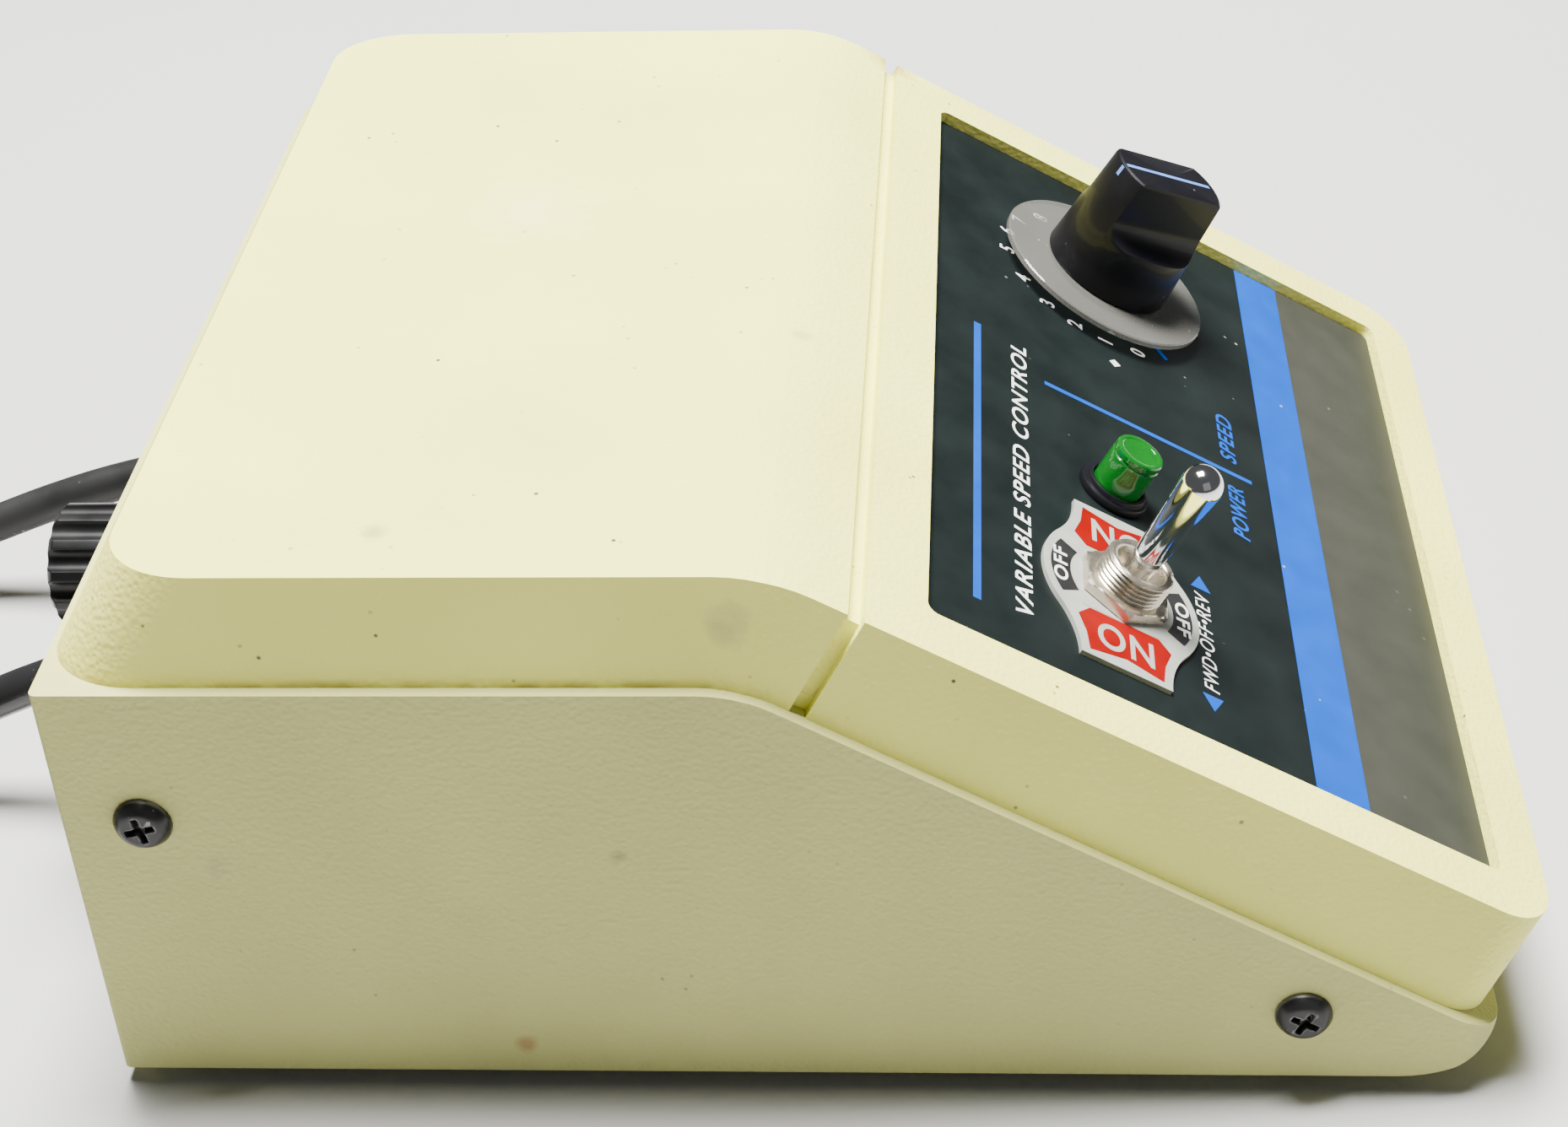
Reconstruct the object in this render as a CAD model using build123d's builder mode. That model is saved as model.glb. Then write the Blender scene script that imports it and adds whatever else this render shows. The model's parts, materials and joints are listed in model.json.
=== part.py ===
from build123d import *
import os
from math import sin, cos, tan, radians, degrees, pi, sqrt, atan2, acos, hypot

os.makedirs("parts", exist_ok=True)

# ---------------------------------------------------------------------------
# Benchtop motor-speed controller: a wedge-nosed two-part plastic case with a
# sloped control panel (toggle, pilot lamp, speed knob), a rear fuse holder
# and two rear cords.  Millimetres, +Z up, the operator stands at -Y.
# Origin: centre of the footprint (cords left out), on the standing surface.
# Heights "zc" below are measured from the case bottom, depths "yc" from the
# rear face of the case (negative towards the operator).
# ---------------------------------------------------------------------------

# --- overall ---------------------------------------------------------------
FOOT_H = 3.0            # rubber foot below the case
CASE_W = 190.5          # case width (7.5 in)
HALF = CASE_W / 2
CAP_END = 15.6          # fuse cap stands this far behind the case
NOSE_Y = -223.3         # foremost edge of the cover
YB = -(NOSE_Y + CAP_END) / 2   # rear face of the case in the part's frame

# --- lower case ------------------------------------------------------------
RIM_Z = 75.3            # level part of the rim
RIM_KNEE_Y = -101.8     # where the rim starts to slope
RIM_SLOPE = 30.5        # degrees
RIM_KNEE_R = 22.0
RIM_FRONT_Y = -216.5
NOSE_R = 20.0
NOSE_YT = -200.6
CASE_WALL = 2.6
SHELF_T = 3.0
CASE_FRONT_R = 8.0

# --- cover -----------------------------------------------------------------
COVER_SIDE_BASE = 93.35
COVER_SIDE_TOP = 90.95
COVER_TOP_Z = 93.0
COVER_BACK_BASE_Y = -0.9
COVER_BACK_TOP_Y = -11.5
COVER_KNEE_Y = -106.4
COVER_KNEE_R = 28.0
COVER_FRONT_BASE_Y = -215.0
COVER_WALL = 3.0
PANEL_SLOPE = 30.0
GROOVE_Y = -117.8       # rear edge of the cross groove, on the panel plane
GROOVE_W = 2.7
GROOVE_D = 1.8

# --- control panel (u = x, s = distance down the slope from the groove's rear
#     edge, o = height over the bezel surface) -------------------------------
REC_HALF = 81.3
REC_S0, REC_S1 = 12.6, 113.2
REC_DEPTH = 3.2
PLATE_T = 1.2
PLATE_TOP = -REC_DEPTH + PLATE_T       # = -2.0
FLOOR_O = -REC_DEPTH - COVER_WALL      # underside of the recess floor
CTRL_S = 47.5
TOGGLE_U, LAMP_U, KNOB_U = -52.0, -23.2, 45.8

# --- toggle switch ---------------------------------------------------------
BUSH_R = 5.95           # 15/32 in bushing
BUSH_TOP = 5.1
BUSH_BORE = 4.3
PIVOT_O = -2.0
LEVER_TIP_O = 21.8
LEVER_TIP_R = 3.4

# --- speed control ---------------------------------------------------------
SKIRT_R = 20.8
SKIRT_O0, SKIRT_T = 0.3, 1.2
KNOB_R0, KNOB_R1 = 12.5, 10.9
KNOB_TOP_O = 24.0
KNOB_BAR_HALF = 5.6
KNOB_ANGLE = 24.5       # pointer, turned anticlockwise from straight up
POT_SHAFT_R = 3.175

# --- rear ------------------------------------------------------------------
FUSE_X, FUSE_Z = -35.0, 55.2
CAP_R = 10.3
POWER_X, POWER_Z = -24.0, 30.0
MOTOR_X, MOTOR_Z = 38.0, 30.0
RELIEF_TILT = 12.0      # the cords droop out of their strain reliefs
CORD_R = 3.75

A = radians(PANEL_SLOPE)
N = (0.0, -sin(A), cos(A))


def Y(yc):
    return YB + yc


def Z(zc):
    return FOOT_H + zc


def rim_z(yc):
    """height of the rim surface (no knee rounding) over the case bottom"""
    return RIM_Z if yc > RIM_KNEE_Y else RIM_Z - tan(radians(RIM_SLOPE)) * (RIM_KNEE_Y - yc)


def bezel_z(yc):
    return COVER_TOP_Z - tan(A) * (COVER_KNEE_Y - yc)


def pp(u, s, o):
    """point on the control panel"""
    yc = GROOVE_Y - s * cos(A)
    return (u, Y(yc) - o * sin(A), Z(bezel_z(yc)) + o * cos(A))


def panel(u=0.0, s=0.0, o=0.0):
    """plane on the panel: x to the right, y up the slope, z out of it"""
    return Plane(origin=pp(u, s, o), x_dir=(1, 0, 0), z_dir=N)


def rear(x, zc, yc=0.0):
    """plane on the rear wall, z pointing backwards"""
    return Plane(origin=(x, Y(yc), Z(zc)), x_dir=(-1, 0, 0), z_dir=(0, 1, 0))


def finish(builder, name):
    builder.part.label = name
    export_step(builder.part, f"parts/{name}.step")


# ---------------------------------------------------------------------------
# plan outlines, in the XY plane
# ---------------------------------------------------------------------------
def plan(half, y_back, y_front, r_back, r_front):
    with BuildSketch(Plane.XY) as sk:
        with BuildLine():
            Polyline((-half, Y(y_back)), (half, Y(y_back)), (half, Y(y_front)),
                     (-half, Y(y_front)), close=True)
        make_face()
        vs = sk.vertices()
        if r_back > 0:
            fillet(vs.group_by(Axis.Y)[-1], r_back)
        vs = sk.vertices()
        fillet(vs.group_by(Axis.Y)[0], r_front)
    return sk.sketch


def profile_prism(pts, half, knee=None, knee_r=0.0):
    """side profile (yc, zc) extruded across the width"""
    with BuildPart() as b:
        with BuildSketch(Plane.YZ) as sk:
            with BuildLine():
                Polyline(*[(Y(p[0]), Z(p[1])) for p in pts], close=True)
            make_face()
            if knee:
                v = sk.vertices().sort_by_distance((0, Y(knee[0]), Z(knee[1])))[0]
                fillet(v, knee_r)
        extrude(amount=half, both=True)
    return b.part


# everything below the rim surface
rim_front_z = rim_z(RIM_FRONT_Y)
below_rim = profile_prism(
    [(30, -40), (30, RIM_Z), (RIM_KNEE_Y, RIM_Z), (-260, rim_z(-260)), (-260, -40)],
    140, knee=(RIM_KNEE_Y, RIM_Z), knee_r=RIM_KNEE_R)

# ---------------------------------------------------------------------------
# lower_case
# ---------------------------------------------------------------------------
th = acos(1 - rim_front_z / NOSE_R)
SCREW_POS = [(-12.6, 51.6), (-185.3, 13.4)]      # side screws (yc, zc)
BOARD_X0, BOARD_X1 = -72.0, 72.0
BOARD_Y0, BOARD_Y1 = -138.0, -30.0
BOSS_H = 9.0
BOARD_Z = CASE_WALL + BOSS_H
BOARD_T = 1.6
BOSS_POS = [(x, y) for x in (BOARD_X0 + 6, BOARD_X1 - 6) for y in (BOARD_Y0 + 6, BOARD_Y1 - 6)]
FOOT_POS = [(x, y) for x in (-78.0, 78.0) for y in (-17.0, -186.0)]

with BuildPart() as lower_case:
    with BuildSketch(Plane.YZ) as sk:
        with BuildLine():
            nose_start = (Y(RIM_FRONT_Y), Z(rim_front_z))
            yt = NOSE_YT
            nose_mid = (Y(yt - NOSE_R * sin(th / 2)), Z(NOSE_R * (1 - cos(th / 2))))
            nose_end = (Y(yt), Z(0))
            real_start = (Y(yt - NOSE_R * sin(th)), Z(rim_front_z))
            Polyline(nose_end, (Y(0), Z(0)), (Y(0), Z(RIM_Z)), (Y(RIM_KNEE_Y), Z(RIM_Z)), real_start)
            ThreePointArc(real_start, nose_mid, nose_end)
        make_face()
        v = sk.vertices().sort_by_distance((0, Y(RIM_KNEE_Y), Z(RIM_Z)))[0]
        fillet(v, RIM_KNEE_R)
    extrude(amount=HALF, both=True)
    outer_plan = plan(HALF, 0, yt - NOSE_R * sin(th), 1.2, CASE_FRONT_R)
    extrude(outer_plan, amount=200, mode=Mode.INTERSECT)
    # bottom edge of the back and sides is eased
    # cavity under the shelf
    with BuildPart(mode=Mode.PRIVATE) as cav:
        r_in = NOSE_R - CASE_WALL
        with BuildSketch(Plane.YZ):
            with BuildLine():
                zs = rim_z(-214) - SHELF_T
                ang = acos((NOSE_R - zs) / r_in)
                p_top = (yt - r_in * sin(ang), zs)
                z_line = lambda y: rim_z(y) - SHELF_T
                # meet of the shelf underside with the inner nose arc
                lo, hi = 0.05, 1.2
                for _ in range(60):
                    m = (lo + hi) / 2
                    ya, za = yt - r_in * sin(m), NOSE_R - r_in * cos(m)
                    if za < z_line(ya):
                        lo = m
                    else:
                        hi = m
                ya, za = yt - r_in * sin(lo), NOSE_R - r_in * cos(lo)
                am = lo / 2
                Polyline((Y(yt), Z(CASE_WALL)), (Y(-CASE_WALL), Z(CASE_WALL)),
                         (Y(-CASE_WALL), Z(RIM_Z - SHELF_T)), (Y(RIM_KNEE_Y), Z(RIM_Z - SHELF_T)),
                         (Y(ya), Z(za)))
                ThreePointArc((Y(ya), Z(za)), (Y(yt - r_in * sin(am)), Z(NOSE_R - r_in * cos(am))),
                              (Y(yt), Z(CASE_WALL)))
            make_face()
        extrude(amount=HALF, both=True)
        extrude(plan(HALF - CASE_WALL, -CASE_WALL, -214.0, 2.0, CASE_FRONT_R - CASE_WALL),
                amount=200, mode=Mode.INTERSECT)
    add(cav.part, mode=Mode.SUBTRACT)
    # mouth through the shelf, with the cover's own corner shape
    with BuildPart(mode=Mode.PRIVATE) as mouth:
        with BuildSketch(Plane.YZ):
            with BuildLine():
                Polyline((Y(5), Z(RIM_Z - SHELF_T - 1)), (Y(5), Z(120)), (Y(-240), Z(120)),
                         (Y(-240), Z(rim_z(-240) - SHELF_T - 1.2)),
                         (Y(RIM_KNEE_Y), Z(RIM_Z - SHELF_T - 1)), close=True)
            make_face()
        extrude(amount=120, both=True)
        extrude(plan(COVER_SIDE_BASE - 1.75, COVER_BACK_BASE_Y - 1.75, COVER_FRONT_BASE_Y + 3.2,
                     11.75, 8.0), amount=200, mode=Mode.INTERSECT)
    add(mouth.part, mode=Mode.SUBTRACT)
    # board bosses
    with BuildSketch(Plane.XY.offset(Z(CASE_WALL - 0.5))):
        with Locations(*[(x, Y(y)) for x, y in BOSS_POS]):
            Circle(3.6)
    extrude(amount=BOSS_H + 0.5)
    with BuildSketch(Plane.XY.offset(Z(CASE_WALL + 0.5))):
        with Locations(*[(x, Y(y)) for x, y in BOSS_POS]):
            Circle(1.3)
    extrude(amount=BOSS_H, mode=Mode.SUBTRACT)
    # side screw holes
    for yc, zc in SCREW_POS:
        with BuildSketch(Plane.YZ.offset(-HALF - 1)):
            with Locations((Y(yc), Z(zc))):
                Circle(2.2)
        extrude(amount=CASE_W + 2, mode=Mode.SUBTRACT)
    # rear holes
    with BuildSketch(rear(FUSE_X, FUSE_Z, -10)):
        Circle(6.4)
    extrude(amount=20, mode=Mode.SUBTRACT)
    for x, zc in ((POWER_X, POWER_Z), (MOTOR_X, MOTOR_Z)):
        with BuildSketch(rear(x, zc, -10)):
            Circle(6.1)
        extrude(amount=20, mode=Mode.SUBTRACT)
    # foot screw holes
    with BuildSketch(Plane.XY.offset(Z(-1))):
        with Locations(*[(x, Y(y)) for x, y in FOOT_POS]):
            Circle(1.7)
    extrude(amount=6, mode=Mode.SUBTRACT)
finish(lower_case, "lower_case")


# ---------------------------------------------------------------------------
# top_cover
# ---------------------------------------------------------------------------
def line_offset(p, q, d):
    """shift the line p->q to its left by d"""
    dx, dy = q[0] - p[0], q[1] - p[1]
    L = hypot(dx, dy)
    nx, ny = -dy / L * d, dx / L * d
    return (p[0] + nx, p[1] + ny), (q[0] + nx, q[1] + ny)


def meet(l1, l2):
    (x1, y1), (x2, y2) = l1
    (x3, y3), (x4, y4) = l2
    den = (x1 - x2) * (y3 - y4) - (y1 - y2) * (x3 - x4)
    a = x1 * y2 - y1 * x2
    b = x3 * y4 - y3 * x4
    return ((a * (x3 - x4) - (x1 - x2) * b) / den, (a * (y3 - y4) - (y1 - y2) * b) / den)


def cover_blank(w, top_t, bez_t, r_back, r_front, knee_r, below):
    """the cover's outer form, every wall moved in: w sides, top_t top, bez_t panel"""
    F0 = (NOSE_Y, bezel_z(NOSE_Y))
    G0 = (COVER_FRONT_BASE_Y, rim_z(COVER_FRONT_BASE_Y))
    back = line_offset((COVER_BACK_BASE_Y, RIM_Z), (COVER_BACK_TOP_Y, COVER_TOP_Z), w)
    top = line_offset((COVER_BACK_TOP_Y, COVER_TOP_Z), (COVER_KNEE_Y, COVER_TOP_Z), top_t)
    bez = line_offset((COVER_KNEE_Y, COVER_TOP_Z), F0, bez_t)
    front = line_offset(F0, G0, w)
    und = ((RIM_KNEE_Y, RIM_Z - below), (-230, rim_z(-230) - below))
    undr = ((0, RIM_Z - below), (RIM_KNEE_Y, RIM_Z - below))
    pA, pB, pK, pF = meet(undr, back), meet(back, top), meet(top, bez), meet(bez, front)
    pG, pM = meet(front, und), (RIM_KNEE_Y, RIM_Z - below)
    # mitre line through the knee
    mit = ((RIM_KNEE_Y, RIM_Z), (COVER_KNEE_Y, COVER_TOP_Z))
    mA, mB = meet(mit, (undr[0], undr[1])), meet(mit, ((0, 140), (-10, 140)))
    xb, xt = COVER_SIDE_BASE - w, COVER_SIDE_TOP - w
    k = (xb - xt) / (COVER_TOP_Z - RIM_Z)
    with BuildPart() as b:
        # rear half: level, sides leaning in
        with BuildSketch(Plane.YZ):
            with BuildLine():
                Polyline(*[(Y(p[0]), Z(p[1])) for p in (pA, pB, pK, pM)], close=True)
            make_face()
        extrude(amount=120, both=True)
        zlo, zhi = RIM_Z - 20, COVER_TOP_Z + 20
        with BuildSketch(Plane.XZ.offset(-150)):
            with BuildLine():
                Polyline((-(xb + 20 * k), Z(zlo)), (xb + 20 * k, Z(zlo)), (xt - 20 * k, Z(zhi)),
                         (-(xt - 20 * k), Z(zhi)), close=True)
            make_face()
        extrude(amount=400, mode=Mode.INTERSECT)
    with BuildPart() as f:
        with BuildSketch(Plane.YZ):
            with BuildLine():
                Polyline(*[(Y(p[0]), Z(p[1])) for p in (pM, pK, pF, pG)], close=True)
            make_face()
        extrude(amount=120, both=True)
        # trapezoid across the slope, tied to the same mitre edge
        ob = -sin(A) * (RIM_KNEE_Y - COVER_KNEE_Y) + cos(A) * (RIM_Z - COVER_TOP_Z)
        kf = (xb - xt) / (-ob)
        sec = Plane(origin=pp(0, -60, 0), x_dir=(1, 0, 0), z_dir=(0, cos(A), sin(A)))
        # local y of this plane points into the case
        with BuildSketch(sec):
            with BuildLine():
                Polyline((-(xt + 40 * kf), 40), (xt + 40 * kf, 40), (xt - 20 * kf, -20),
                         (-(xt - 20 * kf), -20), close=True)
            make_face()
        extrude(amount=-300, mode=Mode.INTERSECT)
    with BuildPart() as out:
        add(b.part)
        add(f.part)
        # upright corners
        eb = [e for e in out.edges()
              if abs(e.center().X) > xt - 4 and e.length > 8
              and abs(e.tangent_at(0.5).Z) > 0.5
              and e.center().Y > Y(COVER_BACK_TOP_Y - 12)]
        if r_back:
            fillet(eb, r_back)
        ef = [e for e in out.edges()
              if abs(e.center().X) > xt - 4 and e.length > 8
              and abs(e.tangent_at(0.5).Z) > 0.5
              and e.center().Y < Y(COVER_FRONT_BASE_Y + 14)
              and abs(abs(e.tangent_at(0.5).Z) - sin(A)) > 0.1]
        if r_front:
            fillet(ef, r_front)
        if knee_r:
            ek = [e for e in out.edges()
                  if abs(abs(e.tangent_at(0.5).X) - 1) < 1e-6
                  and abs(e.center().Y - Y(pK[0])) < 0.01 and abs(e.center().Z - Z(pK[1])) < 0.01]
            fillet(ek, knee_r)
    return out.part


outer_c = cover_blank(0, 0, 0, 12.5, 10.5, COVER_KNEE_R, 8)
inner_c = cover_blank(COVER_WALL, COVER_WALL, -FLOOR_O, 9.5, 7.5, 0, 14)
core_c = cover_blank(GROOVE_D, GROOVE_D, GROOVE_D, 10.7, 8.7, 0, 9)

with BuildPart() as top_cover:
    add(outer_c)
    add(below_rim, mode=Mode.SUBTRACT)
    # groove just in front of the knee, over the top and down both sides
    with BuildPart(mode=Mode.PRIVATE) as slab:
        with BuildSketch(panel(0, GROOVE_W / 2, -60)):
            Rectangle(260, GROOVE_W)
        extrude(amount=90)
        add(core_c, mode=Mode.SUBTRACT)
    add(slab.part, mode=Mode.SUBTRACT)
    add(inner_c, mode=Mode.SUBTRACT)
    # recess for the panel plate
    with BuildSketch(panel(0, (REC_S0 + REC_S1) / 2, 5)) as rs:
        Rectangle(2 * REC_HALF, REC_S1 - REC_S0)
        fillet(rs.vertices(), 2.0)
    extrude(amount=-5 - REC_DEPTH, mode=Mode.SUBTRACT)
    # locating lip that drops through the mouth of the lower case
    with BuildPart(mode=Mode.PRIVATE) as lip:
        with BuildSketch(Plane.YZ):
            with BuildLine():
                zt, zb = 3.0, -3.6
                Polyline((Y(5), Z(RIM_Z + zb)), (Y(5), Z(RIM_Z + zt)), (Y(RIM_KNEE_Y), Z(RIM_Z + zt)),
                         (Y(-230), Z(rim_z(-230) + zt)), (Y(-230), Z(rim_z(-230) + zb)),
                         (Y(RIM_KNEE_Y), Z(RIM_Z + zb)), close=True)
            make_face()
        extrude(amount=120, both=True)
        extrude(plan(COVER_SIDE_BASE - 2.05, COVER_BACK_BASE_Y - 2.05, COVER_FRONT_BASE_Y + 3.5,
                     11.45, 7.7), amount=200, mode=Mode.INTERSECT)
        extrude(plan(COVER_SIDE_BASE - 4.25, COVER_BACK_BASE_Y - 4.65, COVER_FRONT_BASE_Y + 6.0,
                     9.3, 5.5), amount=200, mode=Mode.SUBTRACT)
    add(lip.part)
    # four screw tabs hanging from the lip
    with BuildPart(mode=Mode.PRIVATE) as tabs:
        for yc, zc in SCREW_POS:
            top_z = rim_z(yc) + (1.0 if yc > RIM_KNEE_Y else 4.0)
            for sx in (-1, 1):
                with BuildSketch(Plane.XY.offset(Z(zc - 6))):
                    with Locations((sx * (COVER_SIDE_BASE - 2.05 - 2.0), Y(yc))):
                        Rectangle(4.0, 13.0)
                extrude(amount=top_z - zc + 6)
        extrude(plan(COVER_SIDE_BASE - 2.05, COVER_BACK_BASE_Y - 2.05, COVER_FRONT_BASE_Y + 3.5,
                     11.45, 7.7), amount=200, mode=Mode.INTERSECT)
    add(tabs.part)
    for yc, zc in SCREW_POS:
        with BuildSketch(Plane.YZ.offset(-HALF - 1)):
            with Locations((Y(yc), Z(zc))):
                Circle(2.05)
        extrude(amount=CASE_W + 2, mode=Mode.SUBTRACT)
    # holes for the controls
    for u, r in ((TOGGLE_U, BUSH_R + 0.15), (LAMP_U, 5.35), (KNOB_U, 4.95)):
        with BuildSketch(panel(u, CTRL_S, 5)):
            Circle(r)
        extrude(amount=-20, mode=Mode.SUBTRACT)
finish(top_cover, "top_cover")


# ---------------------------------------------------------------------------
# panel pieces
# ---------------------------------------------------------------------------
with BuildPart() as front_panel:
    with BuildSketch(panel(0, (REC_S0 + REC_S1) / 2, -REC_DEPTH)) as sk:
        Rectangle(2 * REC_HALF - 0.5, REC_S1 - REC_S0 - 0.5)
        fillet(sk.vertices(), 1.8)
    extrude(amount=PLATE_T)
    for u, r in ((TOGGLE_U, BUSH_R + 0.15), (LAMP_U, 5.35), (KNOB_U, 4.95)):
        with BuildSketch(panel(u, CTRL_S, 5)):
            Circle(r)
        extrude(amount=-20, mode=Mode.SUBTRACT)
finish(front_panel, "front_panel")

# --- toggle switch ---------------------------------------------------------
BODY_TOP = FLOOR_O - 0.7
with BuildPart() as switch_body:
    with BuildSketch(panel(TOGGLE_U, CTRL_S, BODY_TOP)):
        RectangleRounded(18.0, 29.0, 1.0)
    extrude(amount=-21.0)
    with BuildSketch(panel(TOGGLE_U, CTRL_S, BODY_TOP)):
        Circle(5.3)
    extrude(amount=-8.5, mode=Mode.SUBTRACT)
finish(switch_body, "switch_body")

with BuildPart() as switch_bushing:
    with BuildSketch(panel(TOGGLE_U, CTRL_S, BODY_TOP)):
        Circle(BUSH_R)
        Circle(BUSH_BORE, mode=Mode.SUBTRACT)
    extrude(amount=BUSH_TOP - BODY_TOP)
    # keyway down the operator's side
    with BuildSketch(panel(TOGGLE_U, CTRL_S, -1.0)):
        with Locations((0, -BUSH_R)):
            Rectangle(1.6, 1.8)
    extrude(amount=8, mode=Mode.SUBTRACT)
    # seats for the lever's cross pin
    with BuildSketch(Plane(origin=pp(TOGGLE_U, CTRL_S, PIVOT_O), x_dir=(1, 0, 0),
                           z_dir=(0, cos(A), sin(A)))):
        Circle(0.95)
    extrude(amount=5.6, both=True, mode=Mode.SUBTRACT)
    # thread grooves
    for i in range(7):
        with BuildSketch(panel(TOGGLE_U, CTRL_S, 1.25 + 0.5 * i)):
            Circle(BUSH_R + 1)
            Circle(BUSH_R - 0.25, mode=Mode.SUBTRACT)
        extrude(amount=0.22, mode=Mode.SUBTRACT)
finish(switch_bushing, "switch_bushing")

with BuildPart() as switch_lock_washer:
    with BuildSketch(panel(TOGGLE_U, CTRL_S, BODY_TOP)):
        Circle(8.6)
        Circle(BUSH_R + 0.1, mode=Mode.SUBTRACT)
    extrude(amount=0.7)
finish(switch_lock_washer, "switch_lock_washer")

PL = PLATE_TOP                      # the on/off plate lies on the panel
with BuildPart() as switch_plate:
    with BuildSketch(panel(TOGGLE_U, CTRL_S, PL)) as sk:
        with BuildLine():
            Line((20, -8), (20, 8))
            ThreePointArc((20, 8), (14.2, 8.9), (9.4, 11.2))
            ThreePointArc((9.4, 11.2), (0, 14.2), (-9.4, 11.2))
            ThreePointArc((-9.4, 11.2), (-14.2, 8.9), (-20, 8))
            Line((-20, 8), (-20, -8))
            ThreePointArc((-20, -8), (-14.2, -8.9), (-9.4, -11.2))
            ThreePointArc((-9.4, -11.2), (0, -14.2), (9.4, -11.2))
            ThreePointArc((9.4, -11.2), (14.2, -8.9), (20, -8))
        make_face()
        Circle(BUSH_R + 0.05, mode=Mode.SUBTRACT)
    extrude(amount=0.8)
finish(switch_plate, "switch_plate")

with BuildPart() as switch_nut:
    with BuildSketch(panel(TOGGLE_U, CTRL_S, PL + 0.8)):
        RegularPolygon(14.3 / 2, 6, major_radius=False, rotation=30)
        Circle(BUSH_R, mode=Mode.SUBTRACT)
    extrude(amount=2.0)
finish(switch_nut, "switch_nut")

with BuildPart() as switch_terminals:
    with BuildSketch(panel(TOGGLE_U, CTRL_S, BODY_TOP - 21.0)):
        with GridLocations(9.0, 9.5, 2, 3):
            Rectangle(0.8, 4.8)
    extrude(amount=-9.0)
finish(switch_terminals, "switch_terminals")

with BuildPart() as toggle_lever:
    # bat lever: pivot ball in the bushing, tapering out to a round tip
    o0, o1, o2 = -13.0, PIVOT_O, LEVER_TIP_O
    with BuildSketch(Plane(origin=pp(TOGGLE_U, CTRL_S, 0), x_dir=(1, 0, 0),
                           z_dir=(0, cos(A), sin(A)))):
        with BuildLine():
            # local y runs along -normal, so heights are entered negative
            ball = 3.85
            bn = 2.25
            yb = sqrt(ball ** 2 - bn ** 2)
            bl = 1.9
            yl = sqrt(ball ** 2 - bl ** 2)
            Polyline((0, -o0), (bl, -o0), (bl, -(o1 - yl)))
            ThreePointArc((bl, -(o1 - yl)), (ball, -o1), (bn, -(o1 + yb)))
            Line((bn, -(o1 + yb)), (LEVER_TIP_R, -o2))
            ThreePointArc((LEVER_TIP_R, -o2),
                          (LEVER_TIP_R * cos(pi / 4), -(o2 + LEVER_TIP_R * sin(pi / 4))),
                          (0, -(o2 + LEVER_TIP_R)))
            Line((0, -(o2 + LEVER_TIP_R)), (0, -o0))
        make_face()
    revolve(axis=Axis(pp(TOGGLE_U, CTRL_S, 0), N))
    # cross pin the lever tilts on
    with BuildSketch(Plane(origin=pp(TOGGLE_U, CTRL_S, PIVOT_O), x_dir=(1, 0, 0),
                           z_dir=(0, cos(A), sin(A)))):
        Circle(0.9)
    extrude(amount=5.3, both=True)
finish(toggle_lever, "toggle_lever")

# --- pilot lamp ------------------------------------------------------------
with BuildPart() as lamp_bezel:
    with BuildSketch(panel(LAMP_U, CTRL_S, PLATE_TOP)):
        Circle(6.3)
        Circle(4.5, mode=Mode.SUBTRACT)
    extrude(amount=1.3)
    with BuildSketch(panel(LAMP_U, CTRL_S, PLATE_TOP + 1.3)):
        Circle(5.4)
        Circle(4.5, mode=Mode.SUBTRACT)
    extrude(amount=0.9)
finish(lamp_bezel, "lamp_bezel")

with BuildPart() as lamp_body:
    with BuildSketch(panel(LAMP_U, CTRL_S, PLATE_TOP)):
        Circle(5.2)
        Circle(4.5, mode=Mode.SUBTRACT)
    extrude(amount=-21)
    with BuildSketch(panel(LAMP_U, CTRL_S, PLATE_TOP - 21)):
        Circle(5.2)
    extrude(amount=-3)
finish(lamp_body, "lamp_body")

with BuildPart() as lamp_lens:
    with BuildSketch(panel(LAMP_U, CTRL_S, PLATE_TOP - 3)):
        Circle(4.4)
    extrude(amount=3 + 9.3)
    with BuildSketch(panel(LAMP_U, CTRL_S, PLATE_TOP + 9.3)):
        Circle(3.2)
    extrude(amount=-0.5, mode=Mode.SUBTRACT)
    with BuildSketch(panel(LAMP_U, CTRL_S, PLATE_TOP - 3)):
        Circle(3.4)
    extrude(amount=9.5, mode=Mode.SUBTRACT)
finish(lamp_lens, "lamp_lens")

with BuildPart() as lamp_bulb:
    with BuildSketch(panel(LAMP_U, CTRL_S, PLATE_TOP - 21)):
        Circle(2.9)
    extrude(amount=24)
    fillet(lamp_bulb.edges().sort_by(Axis.Z)[-1], 2.0)
finish(lamp_bulb, "lamp_bulb")

with BuildPart() as lamp_clip:
    with BuildSketch(panel(LAMP_U, CTRL_S, FLOOR_O)):
        Circle(8.5)
        Circle(5.2, mode=Mode.SUBTRACT)
    extrude(amount=-1.0)
finish(lamp_clip, "lamp_clip")

with BuildPart() as lamp_leads:
    with BuildSketch(panel(LAMP_U, CTRL_S, PLATE_TOP - 24)):
        with Locations((-2.2, 0), (2.2, 0)):
            Circle(0.6)
    extrude(amount=-10)
finish(lamp_leads, "lamp_leads")

# --- speed control ---------------------------------------------------------
with BuildPart() as pot_body:
    with BuildSketch(panel(KNOB_U, CTRL_S, FLOOR_O)):
        Circle(12.0)
    extrude(amount=-11.5)
    with BuildSketch(panel(KNOB_U, CTRL_S, FLOOR_O)):
        Circle(4.2)
    extrude(amount=-8.5, mode=Mode.SUBTRACT)
    fillet(pot_body.edges().filter_by(GeomType.CIRCLE).sort_by(Axis.Z)[0], 1.0)
finish(pot_body, "pot_body")

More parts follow.
